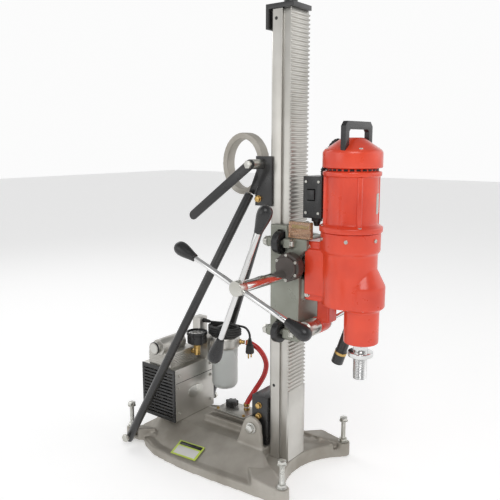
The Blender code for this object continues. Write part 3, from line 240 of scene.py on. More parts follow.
# finishes: colour, its second tone, roughness range, grain and wear of each
finishes = {
    "orange_paint": {"colour": (0.80, 0.066, 0.022), "tone": (0.62, 0.040, 0.014), "rough": (0.26, 0.40),
                     "bump": 0.05, "scale": 520, "coat": 0.35, "wear": 0.55, "bare": (0.46, 0.20, 0.14)},
    "cast_aluminium": {"colour": (0.47, 0.445, 0.40), "tone": (0.30, 0.275, 0.235), "rough": (0.42, 0.62),
                       "metal": 0.55, "bump": 0.32, "scale": 420, "wear": 0.6, "bare": (0.72, 0.70, 0.66)},
    "aluminium": {"colour": (0.60, 0.585, 0.55), "tone": (0.47, 0.455, 0.42), "rough": (0.27, 0.42),
                  "metal": 0.85, "bump": 0.10, "scale": 700, "grain": "drawn", "wear": 0.5,
                  "bare": (0.80, 0.79, 0.77)},
    "hammered_grey": {"colour": (0.31, 0.32, 0.275), "tone": (0.20, 0.205, 0.17), "rough": (0.26, 0.40),
                      "metal": 0.35, "hammer": 330, "bump": 0.28, "wear": 0.7, "bare": (0.62, 0.61, 0.57)},
    "black_paint": {"colour": (0.012, 0.012, 0.013), "tone": (0.030, 0.029, 0.028), "rough": (0.22, 0.42),
                    "bump": 0.05, "scale": 380, "coat": 0.2, "wear": 0.35, "bare": (0.20, 0.19, 0.18)},
    "zinc_steel": {"colour": (0.66, 0.66, 0.63), "tone": (0.50, 0.49, 0.44), "rough": (0.22, 0.38),
                   "metal": 1.0, "bump": 0.06, "scale": 600, "wear": 0.3, "bare": (0.85, 0.85, 0.83)},
    "chrome": {"colour": (0.78, 0.78, 0.78), "tone": (0.62, 0.62, 0.61), "rough": (0.07, 0.17),
               "metal": 1.0, "bump": 0.015, "scale": 500, "wear": 0.0, "bare": (0.9, 0.9, 0.9)},
    "black_plastic": {"colour": (0.013, 0.013, 0.014), "tone": (0.024, 0.024, 0.024), "rough": (0.20, 0.36),
                      "bump": 0.08, "scale": 900, "wear": 0.2, "bare": (0.09, 0.09, 0.09)},
    "black_rubber": {"colour": (0.016, 0.016, 0.016), "tone": (0.034, 0.033, 0.031), "rough": (0.50, 0.72),
                     "bump": 0.12, "scale": 800, "wear": 0.2, "bare": (0.07, 0.07, 0.07)},
    "red_hose": {"colour": (0.62, 0.018, 0.016), "tone": (0.42, 0.010, 0.010), "rough": (0.18, 0.30),
                 "bump": 0.03, "scale": 300, "coat": 0.4, "wear": 0.0, "bare": (0.7, 0.1, 0.1)},
    "brown_case": {"colour": (0.10, 0.083, 0.074), "tone": (0.060, 0.050, 0.045), "rough": (0.30, 0.48),
                   "metal": 0.25, "bump": 0.12, "scale": 500, "wear": 0.8, "bare": (0.48, 0.46, 0.43)},
    "brass": {"colour": (0.66, 0.44, 0.16), "tone": (0.46, 0.29, 0.10), "rough": (0.20, 0.36),
              "metal": 1.0, "bump": 0.04, "scale": 500, "grain": "turned", "wear": 0.3,
              "bare": (0.85, 0.66, 0.34)},
    "lacquered_laminations": {"colour": (0.30, 0.13, 0.06), "tone": (0.18, 0.08, 0.04), "rough": (0.3, 0.5),
                              "metal": 0.4, "bump": 0.2, "scale": 600, "wear": 0.0, "bare": (0.4, 0.2, 0.1)},
    "printed_label": {"colour": (0.56, 0.70, 0.10), "tone": (0.48, 0.60, 0.10), "rough": (0.32, 0.46),
                      "bump": 0.03, "scale": 400, "wear": 0.3, "bare": (0.75, 0.75, 0.66)},
    "white_plastic": {"colour": (0.74, 0.74, 0.72), "tone": (0.60, 0.59, 0.55), "rough": (0.28, 0.42),
                      "bump": 0.04, "scale": 600, "wear": 0.0, "bare": (0.8, 0.8, 0.8)},
}


def makeFinish(name, look):
    material = bpy.data.materials.new(name)
    material.use_nodes = True
    tree = material.node_tree
    shader = tree.nodes["Principled BSDF"]
    grain = tree.nodes.new("ShaderNodeGroup")
    grain.node_tree = grainGroups[look.get("grain", "even")]
    grain.inputs["Scale"].default_value = look.get("scale", 500)
    grain.inputs["Smooth"].default_value, grain.inputs["Rough"].default_value = look["rough"]
    wear = tree.nodes.new("ShaderNodeGroup")
    wear.node_tree = wearGroup
    wear.inputs["Radius"].default_value = 0.0008
    wear.inputs["Amount"].default_value = look["wear"]
    tones = tree.nodes.new("ShaderNodeMix")
    tones.data_type = "RGBA"
    tones.inputs["A"].default_value = (*look["colour"], 1)
    tones.inputs["B"].default_value = (*look["tone"], 1)
    wire(tree, grain.outputs["Blotch"], tones.inputs["Factor"])
    worn = tree.nodes.new("ShaderNodeMix")
    worn.data_type = "RGBA"
    worn.inputs["B"].default_value = (*look["bare"], 1)
    wire(tree, wear.outputs["Mask"], worn.inputs["Factor"])
    wire(tree, tones.outputs["Result"], worn.inputs["A"])
    wire(tree, worn.outputs["Result"], shader.inputs["Base Color"])
    wire(tree, grain.outputs["Roughness"], shader.inputs["Roughness"])
    bump = tree.nodes.new("ShaderNodeBump")
    bump.inputs["Strength"].default_value = look["bump"]
    bump.inputs["Distance"].default_value = 0.0008
    height = grain.outputs["Height"]
    if "hammer" in look:
        dimples = tree.nodes.new("ShaderNodeGroup")
        dimples.node_tree = hammerGroup
        dimples.inputs["Scale"].default_value = look["hammer"]
        height = dimples.outputs["Height"]
    wire(tree, height, bump.inputs["Height"])
    wire(tree, wear.outputs["Normal"], bump.inputs["Normal"])
    wire(tree, bump.outputs["Normal"], shader.inputs["Normal"])
    shader.inputs["Metallic"].default_value = look.get("metal", 0.0)
    shader.inputs["Coat Weight"].default_value = look.get("coat", 0.0)
    shader.inputs["Coat Roughness"].default_value = 0.12
    return material


def makeClear(name, colour, roughness, transmission, alpha):
    material = bpy.data.materials.new(name)
    material.use_nodes = True
    tree = material.node_tree
    shader = tree.nodes["Principled BSDF"]
    grain = tree.nodes.new("ShaderNodeGroup")
    grain.node_tree = grainGroups["even"]
    grain.inputs["Smooth"].default_value = roughness * 0.8
    grain.inputs["Rough"].default_value = roughness * 1.3
    wire(tree, grain.outputs["Roughness"], shader.inputs["Roughness"])
    shader.inputs["Base Color"].default_value = (*colour, 1)
    shader.inputs["Transmission Weight"].default_value = transmission
    shader.inputs["IOR"].default_value = 1.49
    shader.inputs["Alpha"].default_value = alpha
    return material


materials = {name: makeFinish(name, look) for name, look in finishes.items()}
materials["frosted_plastic"] = makeClear("frosted_plastic", (0.86, 0.88, 0.86), 0.42, 0.55, 1.0)
materials["amber_acrylic"] = makeClear("amber_acrylic", (0.72, 0.46, 0.30), 0.08, 0.75, 1.0)
materials["gauge_glass"] = makeClear("gauge_glass", (0.97, 0.98, 0.98), 0.03, 0.95, 0.35)
print("stage: finishes")


# modelling helpers
def place(shape, name, finish, body, angle=38, stands=()):
    bmesh.ops.recalc_face_normals(shape, faces=shape.faces)
    mesh = bpy.data.meshes.new(name)
    shape.to_mesh(mesh)
    shape.free()
    return link(mesh, name, finish, body, angle, stands)


def link(mesh, name, finish, body, angle=38, stands=()):
    mesh.shade_smooth()
    mesh.set_sharp_from_angle(angle=math.radians(angle))
    mesh.materials.clear()
    mesh.materials.append(materials[finish])
    piece = bpy.data.objects.new(name, mesh)
    bpy.context.scene.collection.objects.link(piece)
    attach(piece, body)
    if stands:
        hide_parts(*stands)
    return piece


def softened(points, radius, closed=False, cuts=3):
    made, count = [], len(points)
    for i, point in enumerate(points):
        if not closed and i in (0, count - 1):
            made.append(tuple(point))
            continue
        before, here, after = Vector(points[i - 1]), Vector(point), Vector(points[(i + 1) % count])
        reach = min(radius, (before - here).length * 0.45, (after - here).length * 0.45)
        start = here + (before - here).normalized() * reach
        end = here + (after - here).normalized() * reach
        for k in range(cuts + 1):
            t = k / cuts
            made.append(tuple(start * (1 - t) ** 2 + here * 2 * t * (1 - t) + end * t ** 2))
    return made


def turnTo(along):
    return Vector((0, 0, 1)).rotation_difference(Vector(along).normalized()).to_matrix().to_4x4()


def lathe(profile, centre, along=(0, 0, 1), steps=64, soft=0.0012, into=None):
    shape = bmesh.new()
    verts = [shape.verts.new((r, 0, h)) for r, h in softened(profile, soft)]
    edges = [shape.edges.new(pair) for pair in zip(verts, verts[1:])]
    bmesh.ops.spin(shape, geom=verts + edges, cent=(0, 0, 0), axis=(0, 0, 1), angle=2 * math.pi, steps=steps,
                   use_merge=True)
    bmesh.ops.remove_doubles(shape, verts=shape.verts, dist=1e-6)
    bmesh.ops.transform(shape, matrix=Matrix.Translation(centre) @ turnTo(along), verts=shape.verts)
    return joined(into, shape)


def joined(into, shape):
    if into is None:
        return shape
    mesh = bpy.data.meshes.new("joined")
    shape.to_mesh(mesh)
    shape.free()
    into.from_mesh(mesh)
    bpy.data.meshes.remove(mesh)
    return into


def bevelled(shape, width, segments=2, least=30):
    edges = [e for e in shape.edges if len(e.link_faces) == 2
             and e.calc_face_angle(0) > math.radians(least)]
    if width and edges:
        bmesh.ops.bevel(shape, geom=edges, offset=width, segments=segments, profile=0.5, affect="EDGES",
                        clamp_overlap=True, material=-1)
    return shape


def bar(start, end, radius, tip=None, steps=32, edge=0.0006, into=None):
    start, end = Vector(start), Vector(end)
    shape = bmesh.new()
    bmesh.ops.create_cone(shape, cap_ends=True, segments=steps, radius1=radius,
                          radius2=radius if tip is None else tip, depth=(end - start).length)
    bevelled(shape, edge)
    bmesh.ops.transform(shape, matrix=Matrix.Translation((start + end) / 2) @ turnTo(end - start),
                        verts=shape.verts)
    return joined(into, shape)


def brick(low, high, edge=0.001, turn=None, into=None):
    low, high = Vector(low), Vector(high)
    shape = bmesh.new()
    size = Matrix.Diagonal((*(high - low), 1))
    bmesh.ops.create_cube(shape, size=1, matrix=size)
    bevelled(shape, edge)
    spot = Matrix.Translation((low + high) / 2)
    bmesh.ops.transform(shape, matrix=spot @ (turn or Matrix.Identity(4)), verts=shape.verts)
    return joined(into, shape)


def hexBolt(at, along, across, height, washer=True, into=None):
    at, along = Vector(at), Vector(along).normalized()
    shape = into if into is not None else bmesh.new()
    base = at
    if washer:
        bar(at, at + along * 0.0012, across * 0.62, steps=32, edge=0.0003, into=shape)
        base = at + along * 0.0012
    bar(base, base + along * height, across / math.sqrt(3), steps=6, edge=across * 0.04, into=shape)
    bar(base + along * height * 0.9, base + along * height * 1.04, across * 0.40, steps=24, into=shape)
    return shape


def socketScrew(at, along, radius, height, into=None):
    at, along = Vector(at), Vector(along).normalized()
    shape = into if into is not None else bmesh.new()
    profile = [(0, height * 0.45), (radius * 0.5, height * 0.45), (radius * 0.5, height), (radius, height),
               (radius, 0), (0, 0)]
    return lathe(profile, at, along, 28, radius * 0.12, into=shape)


# angle and place of each of the equal steps round a circle
def ringSpots(radius, count, first):
    for i in range(count):
        turn = math.radians(first + 360 / count * i)
        yield turn, radius * math.cos(turn), radius * math.sin(turn)


def threaded(at, along, radius, pitch, turns, into=None):
    profile = [(0, pitch * turns)]
    for i in range(turns):
        z = pitch * (turns - i)
        profile += [(radius - pitch * 0.45, z), (radius, z - pitch * 0.42), (radius, z - pitch * 0.58)]
    profile += [(radius - pitch * 0.45, 0), (0, 0)]
    return lathe(profile, at, along, 40, 0.00005, into=into)


def applied(piece, *modifiers):
    for kind, values in modifiers:
        modifier = piece.modifiers.new(kind.lower(), kind)
        for key, value in values.items():
            setattr(modifier, key, value)
    bpy.context.view_layer.update()
    made = bpy.data.meshes.new_from_object(piece.evaluated_get(bpy.context.evaluated_depsgraph_get()))
    bpy.data.objects.remove(piece, do_unlink=True)
    return made


# overlapping closed shapes flow into one casting with soft fillets
def casting(shape, name, finish, body, voxel, passes, stands=()):
    mesh = bpy.data.meshes.new("raw")
    bmesh.ops.recalc_face_normals(shape, faces=shape.faces)
    shape.to_mesh(mesh)
    shape.free()
    raw = bpy.data.objects.new("raw", mesh)
    bpy.context.scene.collection.objects.link(raw)
    made = applied(raw, ("REMESH", {"mode": "VOXEL", "voxel_size": voxel}),
                   ("SMOOTH", {"factor": 0.6, "iterations": passes}))
    return link(made, name, finish, body, 60, stands)


def copyOf(node, *more):
    shape = bmesh.new()
    for name in (node, *more):
        shape.from_mesh(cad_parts[name].data)
    bmesh.ops.remove_doubles(shape, verts=shape.verts, dist=1e-6)
    bmesh.ops.dissolve_limit(shape, angle_limit=math.radians(0.6), verts=shape.verts, edges=shape.edges)
    return shape


# a CAD piece of the right shape, with its edges broken as on the real one
def dressed(node, finish, body, edge=0.0008, segments=2, least=35):
    shape = bevelled(copyOf(node), edge, segments, least)
    return place(shape, node + "_finished", finish, body, 38, (node,))


# a CAD piece shown as it is: the material is the object's, so its mesh stays untouched
def coated(node, finish):
    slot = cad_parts[node].material_slots[0]
    slot.link = "OBJECT"
    slot.material = materials[finish]


def middle(node):
    low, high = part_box(node)
    return (low + high) / 2


def smoothRoute(points, per):
    padded = [2 * points[0] - points[1]] + points + [2 * points[-1] - points[-2]]
    route = []
    for i in range(1, len(padded) - 2):
        a, b, c, d = padded[i - 1:i + 3]
        for k in range(per):
            t = k / per
            route.append(0.5 * (2 * b + (c - a) * t + (2 * a - 5 * b + 4 * c - d) * t ** 2
                                + (3 * b - a - 3 * c + d) * t ** 3))
    return route + [points[-1]]


# cord: gland, hank on the jar's lid, lead and plug
cord = {"diameter": 0.0062, "length": 1.8, "inner": 0.0193, "outer": 0.0255, "half": 0.0236,
        "turns": 7.0, "innerTurns": 3.55, "top": 0.3085, "low": 0.2854, "last": 0.3080, "passOver": 0.3115}
leadRoute = [(0.0899, 0.2083, 0.3080), (0.0899, 0.2013, 0.3072), (0.0899, 0.1944, 0.3038),
             (0.0899, 0.1887, 0.2981), (0.0899, 0.1850, 0.2910), (0.0899, 0.1840, 0.2840),
             (0.0899, 0.1840, 0.2790)]


# a point on a loop with straight sides, from the rear of its right side and heading forwards
def stadium(centre, radius, half, share):
    straight, bend = 2 * half, math.pi * radius
    run = (share % 1.0) * 2 * (straight + bend)
    if run < straight:
        return Vector((centre.x + radius, centre.y + half - run, 0))
    run -= straight
    if run < bend:
        turn = -run / radius
        return Vector((centre.x + radius * math.cos(turn), centre.y - half + radius * math.sin(turn), 0))
    run -= bend
    if run < straight:
        return Vector((centre.x - radius, centre.y - half + run, 0))
    turn = math.pi - (run - straight) / radius
    return Vector((centre.x + radius * math.cos(turn), centre.y + half + radius * math.sin(turn), 0))


def cordRoute():
    centre = middle("cord_hank")
    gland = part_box("cord_gland")[1]
    over = cord["passOver"]
    route = [Vector((centre.x, gland.y, over)), Vector((centre.x, gland.y - 0.012, over)),
             Vector((centre.x, gland.y - 0.024, over)), Vector((centre.x + 0.0012, centre.y + 0.047, over)),
             Vector((centre.x + 0.0060, centre.y + 0.036, over - 0.0004)),
             Vector((centre.x + 0.0127, centre.y + 0.026, over - 0.0013)),
             Vector((centre.x + 0.0172, centre.y + 0.016, over - 0.0023))]
    begin = 0.085
    side = 2 * cord["half"]
    end = cord["turns"] + side / (2 * (side + math.pi * cord["outer"]))
    steps = 28
    for k in range(int((end - begin) * steps) + 1):
        share = begin + (end - begin) * k / int((end - begin) * steps)
        blend = min(1.0, max(0.0, (share - cord["innerTurns"] + 0.1) / 0.2))
        blend = blend * blend * (3 - 2 * blend)
        radius = cord["inner"] + (cord["outer"] - cord["inner"]) * blend
        spot = stadium(centre, radius, cord["half"], share)
        if share < cord["innerTurns"]:
            drop = (share - begin) / (cord["innerTurns"] - begin)
            spot.z = cord["top"] + (cord["low"] - cord["top"]) * drop
        else:
            rise = (share - cord["innerTurns"]) / (end - cord["innerTurns"])
            spot.z = cord["low"] + (cord["last"] - cord["low"]) * rise
        route.append(spot)
    tail = smoothRoute([Vector(p) for p in leadRoute], 2)
    return route[:-1] + [p for p in tail if p.y < route[-1].y - 0.002]


def curvePiece(name, route, radius, finish, body, resolution=4):
    data = bpy.data.curves.new(name, "CURVE")
    data.dimensions = "3D"
    data.bevel_depth = radius
    data.bevel_resolution = resolution
    data.use_fill_caps = True
    spline = data.splines.new("POLY")
    spline.points.add(len(route) - 1)
    for point, spot in zip(spline.points, route):
        point.co = (*spot, 1)
    spline.use_smooth = True
    data.materials.append(materials[finish])
    piece = bpy.data.objects.new(name, data)
    bpy.context.scene.collection.objects.link(piece)
    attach(piece, body)
    return piece


def lengthOf(route):
    return sum((b - a).length for a, b in zip(route, route[1:]))


def makeCord():
    route = cordRoute()
    print("cord length", round(lengthOf(route), 4))
    lead = curvePiece("pump_cord", route, cord["diameter"] / 2, "black_rubber", "base")
    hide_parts("cord_hank", "cord_lead")
    centre = middle("cord_hank")
    tie = bmesh.new()
    low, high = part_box("cord_hank")
    outline = softened([(low.x - 0.0006, low.z + 0.0002), (high.x + 0.0006, low.z + 0.0002),
                        (high.x + 0.0006, high.z - 0.0016), (low.x - 0.0006, high.z - 0.0016)], 0.006, True)
    inner = softened([(low.x + 0.0004, low.z + 0.0010), (high.x - 0.0004, low.z + 0.0010),
                      (high.x - 0.0004, high.z - 0.0024), (low.x + 0.0004, high.z - 0.0024)], 0.005, True)
    rings = []
    for y in (centre.y - 0.004, centre.y + 0.004):
        for loop in (outline, inner):
            verts = [tie.verts.new((x, y, z)) for x, z in loop]
            rings.append([tie.edges.new(pair) for pair in zip(verts, verts[1:] + verts[:1])])
    for a, b in ((0, 1), (1, 3), (3, 2), (2, 0)):
        bmesh.ops.bridge_loops(tie, edges=rings[a] + rings[b])
    place(tie, "cord_tie", "black_plastic", "base")
    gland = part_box("cord_gland")
    ribs = bmesh.new()
    profile = [(0, 0.0), (0.0062, 0.0)]
    rows = 6
    depth = gland[1].y - gland[0].y
    for i in range(rows):
        wide = 0.0062 - 0.0018 * (i + 0.5) / rows
        profile += [(wide, depth * (i + 0.15) / rows), (wide, depth * (i + 0.65) / rows),
                    (wide - 0.0009, depth * (i + 0.7) / rows), (wide - 0.0009, depth * (i + 0.98) / rows)]
    profile += [(0.0034, depth), (0.0, depth)]
    lathe(profile, (centre.x, gland[1].y, cord["passOver"]), (0, -1, 0), 32, 0.0002, into=ribs)
    relief = place(ribs, "cord_strain_relief", "black_rubber", "base", stands=("cord_gland",))
    plug = makePlug()


def makePlug():
    start = Vector(leadRoute[-1])
    down = Vector((0, 0, -1))
    shape = bmesh.new()
    profile = [(0, 0.0002), (0.0044, 0.0002)]
    for i in range(5):
        wide = 0.0048 + 0.0026 * i / 4
        z = 0.0015 + 0.0033 * i
        profile += [(wide, z), (wide, z + 0.0018), (wide - 0.0010, z + 0.0022), (wide - 0.0010, z + 0.0031)]
    profile += [(0.0085, 0.0185), (0.0100, 0.0200), (0.0112, 0.0300), (0.0120, 0.0390), (0.0115, 0.0418),
                (0, 0.0418)]
    lathe(profile, start, down, 40, 0.0005, into=shape)
    plug = place(shape, "mains_plug", "black_rubber", "base", stands=("cord_plug",))
    pins = bmesh.new()
    for side in (-1, 1):
        spot = start + Vector((side * 0.0063, 0, 0))
        bar(spot + down * 0.040, spot + down * 0.056, 0.0022, steps=20, edge=0.0008, into=pins)
    blades = place(pins, "mains_plug_pins", "brass", "base")
    blades.parent = plug
    return plug


hoseRoute = [(0.0994, 0.2059, 0.2605), (0.1041, 0.1995, 0.2595), (0.1095, 0.1905, 0.2560),
             (0.1160, 0.1745, 0.2450), (0.1205, 0.1600, 0.2270), (0.1215, 0.1515, 0.2080),
             (0.1180, 0.1490, 0.1920), (0.1100, 0.1500, 0.1740), (0.0990, 0.1550, 0.1560),
             (0.0870, 0.1610, 0.1390), (0.0755, 0.1670, 0.1220), (0.0665, 0.1710, 0.1090),
             (0.0620, 0.1730, 0.0990), (0.0620, 0.1730, 0.0941)]


def makeHose():
    route = smoothRoute([Vector(p) for p in hoseRoute], 5)
    hose = curvePiece("vacuum_hose_finished", route, 0.00725, "red_hose", "base", 6)
    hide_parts("vacuum_hose")
    clamps = bmesh.new()
    for a, b in ((route[2], route[4]), (route[-3], route[-5])):
        bar(a, a + (b - a).normalized() * 0.007, 0.0086, steps=36, edge=0.0008, into=clamps)
    place(clamps, "hose_clamps", "brass", "base")


makeCord()
makeHose()
print("stage: cord and hose")


# base: one sand casting, its screws, slot cover and label
base = {"voxel": 0.0028, "passes": 5, "nut": 0.019, "threadPitch": 0.00175, "threadRadius": 0.006,
        "head": 0.0185, "seat": {"front": 0.0385, "rear": 0.0365}, "hose": (0.062, 0.173)}


def makeBase():
    casting(copyOf("base_casting"), "base_casting_finished", "cast_aluminium", "base", base["voxel"],
            base["passes"], ("base_casting",))
    dressed("base_seal", "black_rubber", "base", 0.0006)
    nuts = bmesh.new()
    for end in ("front", "rear"):
        for side in ("left", "right"):
            node = f"level_screw_{end}_{side}"
            low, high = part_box(node)
            x, y = middle(node).x, middle(node).y
            length = high.z - 0.008 - low.z
            turns = int(length / base["threadPitch"])
            screw = threaded((x, y, low.z), (0, 0, 1), base["threadRadius"], base["threadPitch"], turns)
            hexBolt((x, y, high.z - 0.0092), (0, 0, 1), base["head"], 0.0088, into=screw)
            place(screw, node + "_finished", "zinc_steel", node, 30, (node,))
            top = base["seat"][end]
            bar((x, y, top), (x, y, top + 0.0015), 0.0125, into=nuts)
            bar((x, y, top + 0.0015), (x, y, top + 0.0085), base["nut"] / math.sqrt(3), steps=6, edge=0.0007,
                into=nuts)
    place(nuts, "levelling_jam_nuts", "zinc_steel", "base", 30)
    dressed("foot_pivot_bolt", "zinc_steel", "base", 0.0006)
    for side in ("left", "right"):
        dressed("stay_pin_" + side, "zinc_steel", "base", 0.0006)
    dressed("slot_cover", "aluminium", "base", 0.0010)
    dressed("valve_knob", "black_plastic", "valve_knob", 0.0012, 3, 25)
    low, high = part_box("slot_cover")
    fitting = bmesh.new()
    hexBolt((*base["hose"], low.z + 0.0035), (0, 0, 1), 0.0165, 0.006, False, fitting)
    inset = 0.008
    for x, y in ((low.x + inset, low.y + inset), (high.x - inset, low.y + inset),
                 (low.x + inset, high.y - inset)):
        socketScrew((x, y, low.z + 0.0038), (0, 0, 1), 0.0042, 0.0036, fitting)
    place(fitting, "slot_cover_fittings", "brass", "base", 32)


label = {"centre": (-0.134, 0.214, 0.0315), "size": (0.046, 0.082), "slope": -22.9, "thick": 0.0006,
         "lift": 0.0003}


def makeLabel():
    turn = Matrix.Rotation(math.radians(label["slope"]), 4, "Y")
    turn = Matrix.Translation(label["centre"]) @ turn @ Matrix.Rotation(math.radians(3), 4, "Z")
    wide, long = label["size"]
    for name, finish, low, high, lift in (
            ("base_label", "printed_label", (-wide / 2, -long / 2), (wide / 2, long / 2), 0.0),
            ("base_label_header", "black_plastic", (wide * 0.22, -long * 0.44), (wide * 0.44, long * 0.44),
             label["lift"]),
            ("base_label_panel", "white_plastic", (-wide * 0.40, -long * 0.42), (wide * 0.14, long * 0.42),
             label["lift"])):
        shape = brick((*low, lift), (*high, lift + label["thick"]), 0.0002)
        bmesh.ops.transform(shape, matrix=turn, verts=shape.verts)
        place(shape, name, finish, "base", 30)


makeBase()
makeLabel()
print("stage: base")

# vacuum pump: housing, grille, finned head, gauge and jar
pump = {"fins": 7, "finPitch": 0.0048, "finThick": 0.0018, "screw": 0.0042,
        "screwRows": (0.082, 0.155, 0.190), "seam": 0.1680, "seamWide": 0.0015,
        "badge": (1.45, 1, 0.85, 1), "badgeHeight": 0.128,
        "filter": (0.368, 0.2623)}


def makePump():
    dressed("pump_housing", "aluminium", "base", 0.0035, 3)
    dressed("pump_grille", "black_plastic", "base", 0.0007, 1)
    coated("pump_fan", "black_plastic")
    dressed("pump_head", "aluminium", "base", 0.0018, 2)
    low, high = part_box("pump_housing")
    fins = bmesh.new()
    for i in range(pump["fins"]):
        z = high.z + 0.0045 + i * pump["finPitch"]
        brick((low.x + 0.0001, low.y + 0.0165, z), (0.0245, high.y - 0.0225, z + pump["finThick"]), 0.0005,
              into=fins)
    place(fins, "pump_head_fins", "aluminium", "base", 30)
    seam = bmesh.new()
    bottom, top = pump["seam"], pump["seam"] + pump["seamWide"]
    for start, end in (((low.x + 0.001, low.y - 0.0005), (high.x, low.y + 0.0005)),
                       ((high.x - 0.0005, low.y), (high.x + 0.0005, high.y)),
                       ((low.x + 0.001, high.y - 0.0005), (high.x, high.y + 0.0005))):
        brick((*start, bottom), (*end, top), 0.0003, into=seam)
    place(seam, "pump_housing_seam", "black_rubber", "base", 30)
    screws = bmesh.new()
    for x in (low.x + 0.014, high.x - 0.014):
        for z in pump["screwRows"]:
            socketScrew((x, low.y - 0.0001, z), (0, -1, 0), pump["screw"], 0.0030, screws)
    place(screws, "pump_housing_screws", "zinc_steel", "base", 32)
    badge = lathe([(0, 0.0012), (0.0205, 0.0012), (0.0215, 0.0), (0, 0.0)], (0, 0, 0), (0, -1, 0), 48)
    spot = Matrix.Translation((0.0, low.y - 0.0001, pump["badgeHeight"]))
    bmesh.ops.transform(badge, matrix=spot @ Matrix.Diagonal(pump["badge"]), verts=badge.verts)
    place(badge, "pump_blank_badge", "zinc_steel", "base", 32)
    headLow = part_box("pump_head")[0].x
    y, z = pump["filter"]
    ring = lathe([(0, 0.0052), (0.0168, 0.0052), (0.0172, 0.004), (0.0172, 0), (0, 0)],
                 (headLow + 0.0062, y, z), (-1, 0, 0), 48)
    place(ring, "filter_ring", "black_plastic", "base")
    cap = lathe([(0, 0.0068), (0.0128, 0.0068), (0.0142, 0.0050), (0.0142, 0), (0, 0)],
                (headLow + 0.0066, y, z), (-1, 0, 0), 48)
    place(cap, "filter_cap", "white_plastic", "base")


gauge = {"bezel": 0.0290, "face": 0.0262, "y": 0.306, "dial": 0.2842, "marks": 27, "degrees": 10}


def makeGauge():
    x, y = middle("gauge_needle").x, gauge["y"]
    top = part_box("gauge_case")[1].z
    r = gauge["bezel"]
    body = lathe([(0, 0.262), (0.020, 0.262), (r - 0.002, 0.266), (r - 0.002, 0.288), (r, 0.290), (r, top),
                  (r - 0.003, top), (r - 0.0035, 0.2840), (0, 0.2840)], (x, y, 0), (0, 0, 1), 64, 0.0008)
    place(body, "gauge_case_finished", "black_plastic", "base", stands=("gauge_case",))
    dial = lathe([(0, 0.0004), (gauge["face"] - 0.001, 0.0004), (gauge["face"] - 0.001, 0), (0, 0)],
                 (x, y, gauge["dial"]), (0, 0, 1), 56, 0)
    place(dial, "gauge_dial", "white_plastic", "base")
    marks = bmesh.new()
    for i in range(gauge["marks"]):
        turn = math.radians(270 - gauge["degrees"] * i)
        long = 0.0042 if i % 3 == 0 else 0.0024
        outer = gauge["face"] - 0.0045
        shape = brick((-0.00025, outer - long, 0), (0.00025, outer, 0.00015), 0)
        spot = Matrix.Translation((x, y, gauge["dial"] + 0.00042)) @ Matrix.Rotation(turn, 4, "Z")
        bmesh.ops.transform(shape, matrix=spot, verts=shape.verts)
        joined(marks, shape)
    place(marks, "gauge_marks", "black_plastic", "base", 30)
    coated("gauge_needle", "black_plastic")
    glass = lathe([(0, 0.0010), (gauge["face"] - 0.0014, 0.0007), (gauge["face"] - 0.0012, 0), (0, 0)],
                  (x, y, top - 0.0040), (0, 0, 1), 56, 0.0002)
    place(glass, "gauge_lens", "gauge_glass", "base")
    stem = bar((x, y, 0.2305), (x, y, 0.2618), 0.0088, steps=32)
    hexBolt((x, y, 0.2490), (0, 0, 1), 0.0175, 0.009, False, stem)
    bar((x, y, 0.237), (x, y + 0.0182, 0.237), 0.0072, steps=32, into=stem)
    place(stem, "gauge_stem", "brass", "base", 32)


jar = {"ribs": 24, "wall": 0.0026, "lid": 0.042, "spout": (0.59, -0.807, -0.12), "spoutHeight": 0.263}


def makeJar():
    low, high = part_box("filter_jar")
    centre = middle("filter_jar")
    r = (high.x - low.x) / 2
    wall = jar["wall"]
    profile = [(0, low.z + 0.002), (r * 0.35, low.z + 0.002), (r * 0.55, low.z), (r - 0.006, low.z),
               (r - 0.0008, low.z + 0.010), (r - 0.0002, high.z - 0.020), (r - 0.0002, high.z),
               (r - wall, high.z), (r - wall, low.z + 0.012), (r - 0.010, low.z + 0.0035),
               (0, low.z + 0.0045)]
    place(lathe(profile, (centre.x, centre.y, 0), (0, 0, 1), 72, 0.003), "filter_jar_finished",
          "frosted_plastic", "base", stands=("filter_jar",))
    bowl = lathe([(0, 0.026), (0.016, 0.026), (0.016, 0), (0, 0)], (centre.x, centre.y, high.z - 0.075),
                 (0, 0, 1), 40)
    place(bowl, "filter_element", "white_plastic", "base")
    lidLow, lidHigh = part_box("jar_lid")
    r = jar["lid"]
    lid = lathe([(0, lidHigh.z), (r - 0.004, lidHigh.z), (r - 0.0004, lidHigh.z - 0.005), (r - 0.0004, 0.256),
                 (r - 0.0022, lidLow.z), (0, lidLow.z)], (centre.x, centre.y, 0), (0, 0, 1), 72, 0.0015)
    spot = Matrix.Translation((centre.x, centre.y, 0))
    for i in range(jar["ribs"]):
        turn = spot @ Matrix.Rotation(2 * math.pi * i / jar["ribs"], 4, "Z")
        rib = brick((r - 0.0016, -0.0016, 0.254), (r + 0.0001, 0.0016, 0.274), 0.0005)
        bmesh.ops.transform(rib, matrix=turn, verts=rib.verts)
        joined(lid, rib)
    place(lid, "jar_lid_finished", "aluminium", "base", stands=("jar_lid",))
    spout = Vector(jar["spout"])
    way = spout.normalized()
    root = Vector((centre.x + spout.x * 0.040, centre.y + spout.y * 0.040, jar["spoutHeight"]))
    fitting = bar(root, root + way * 0.0165, 0.0056, steps=32)
    hexBolt(root, way, 0.0150, 0.006, False, fitting)
    place(fitting, "jar_hose_fitting", "brass", "base", 32)


makePump()
makeGauge()
makeJar()
print("stage: pump, gauge and jar")

# column: extrusion, rack, cap, jack and foot
column = {"jackPitch": 0.002, "jackRadius": 0.008, "jackHead": 0.010, "plugs": (1.083, 0.225),
          "plug": 0.0036, "plugY": 0.014, "bolt": 0.013}


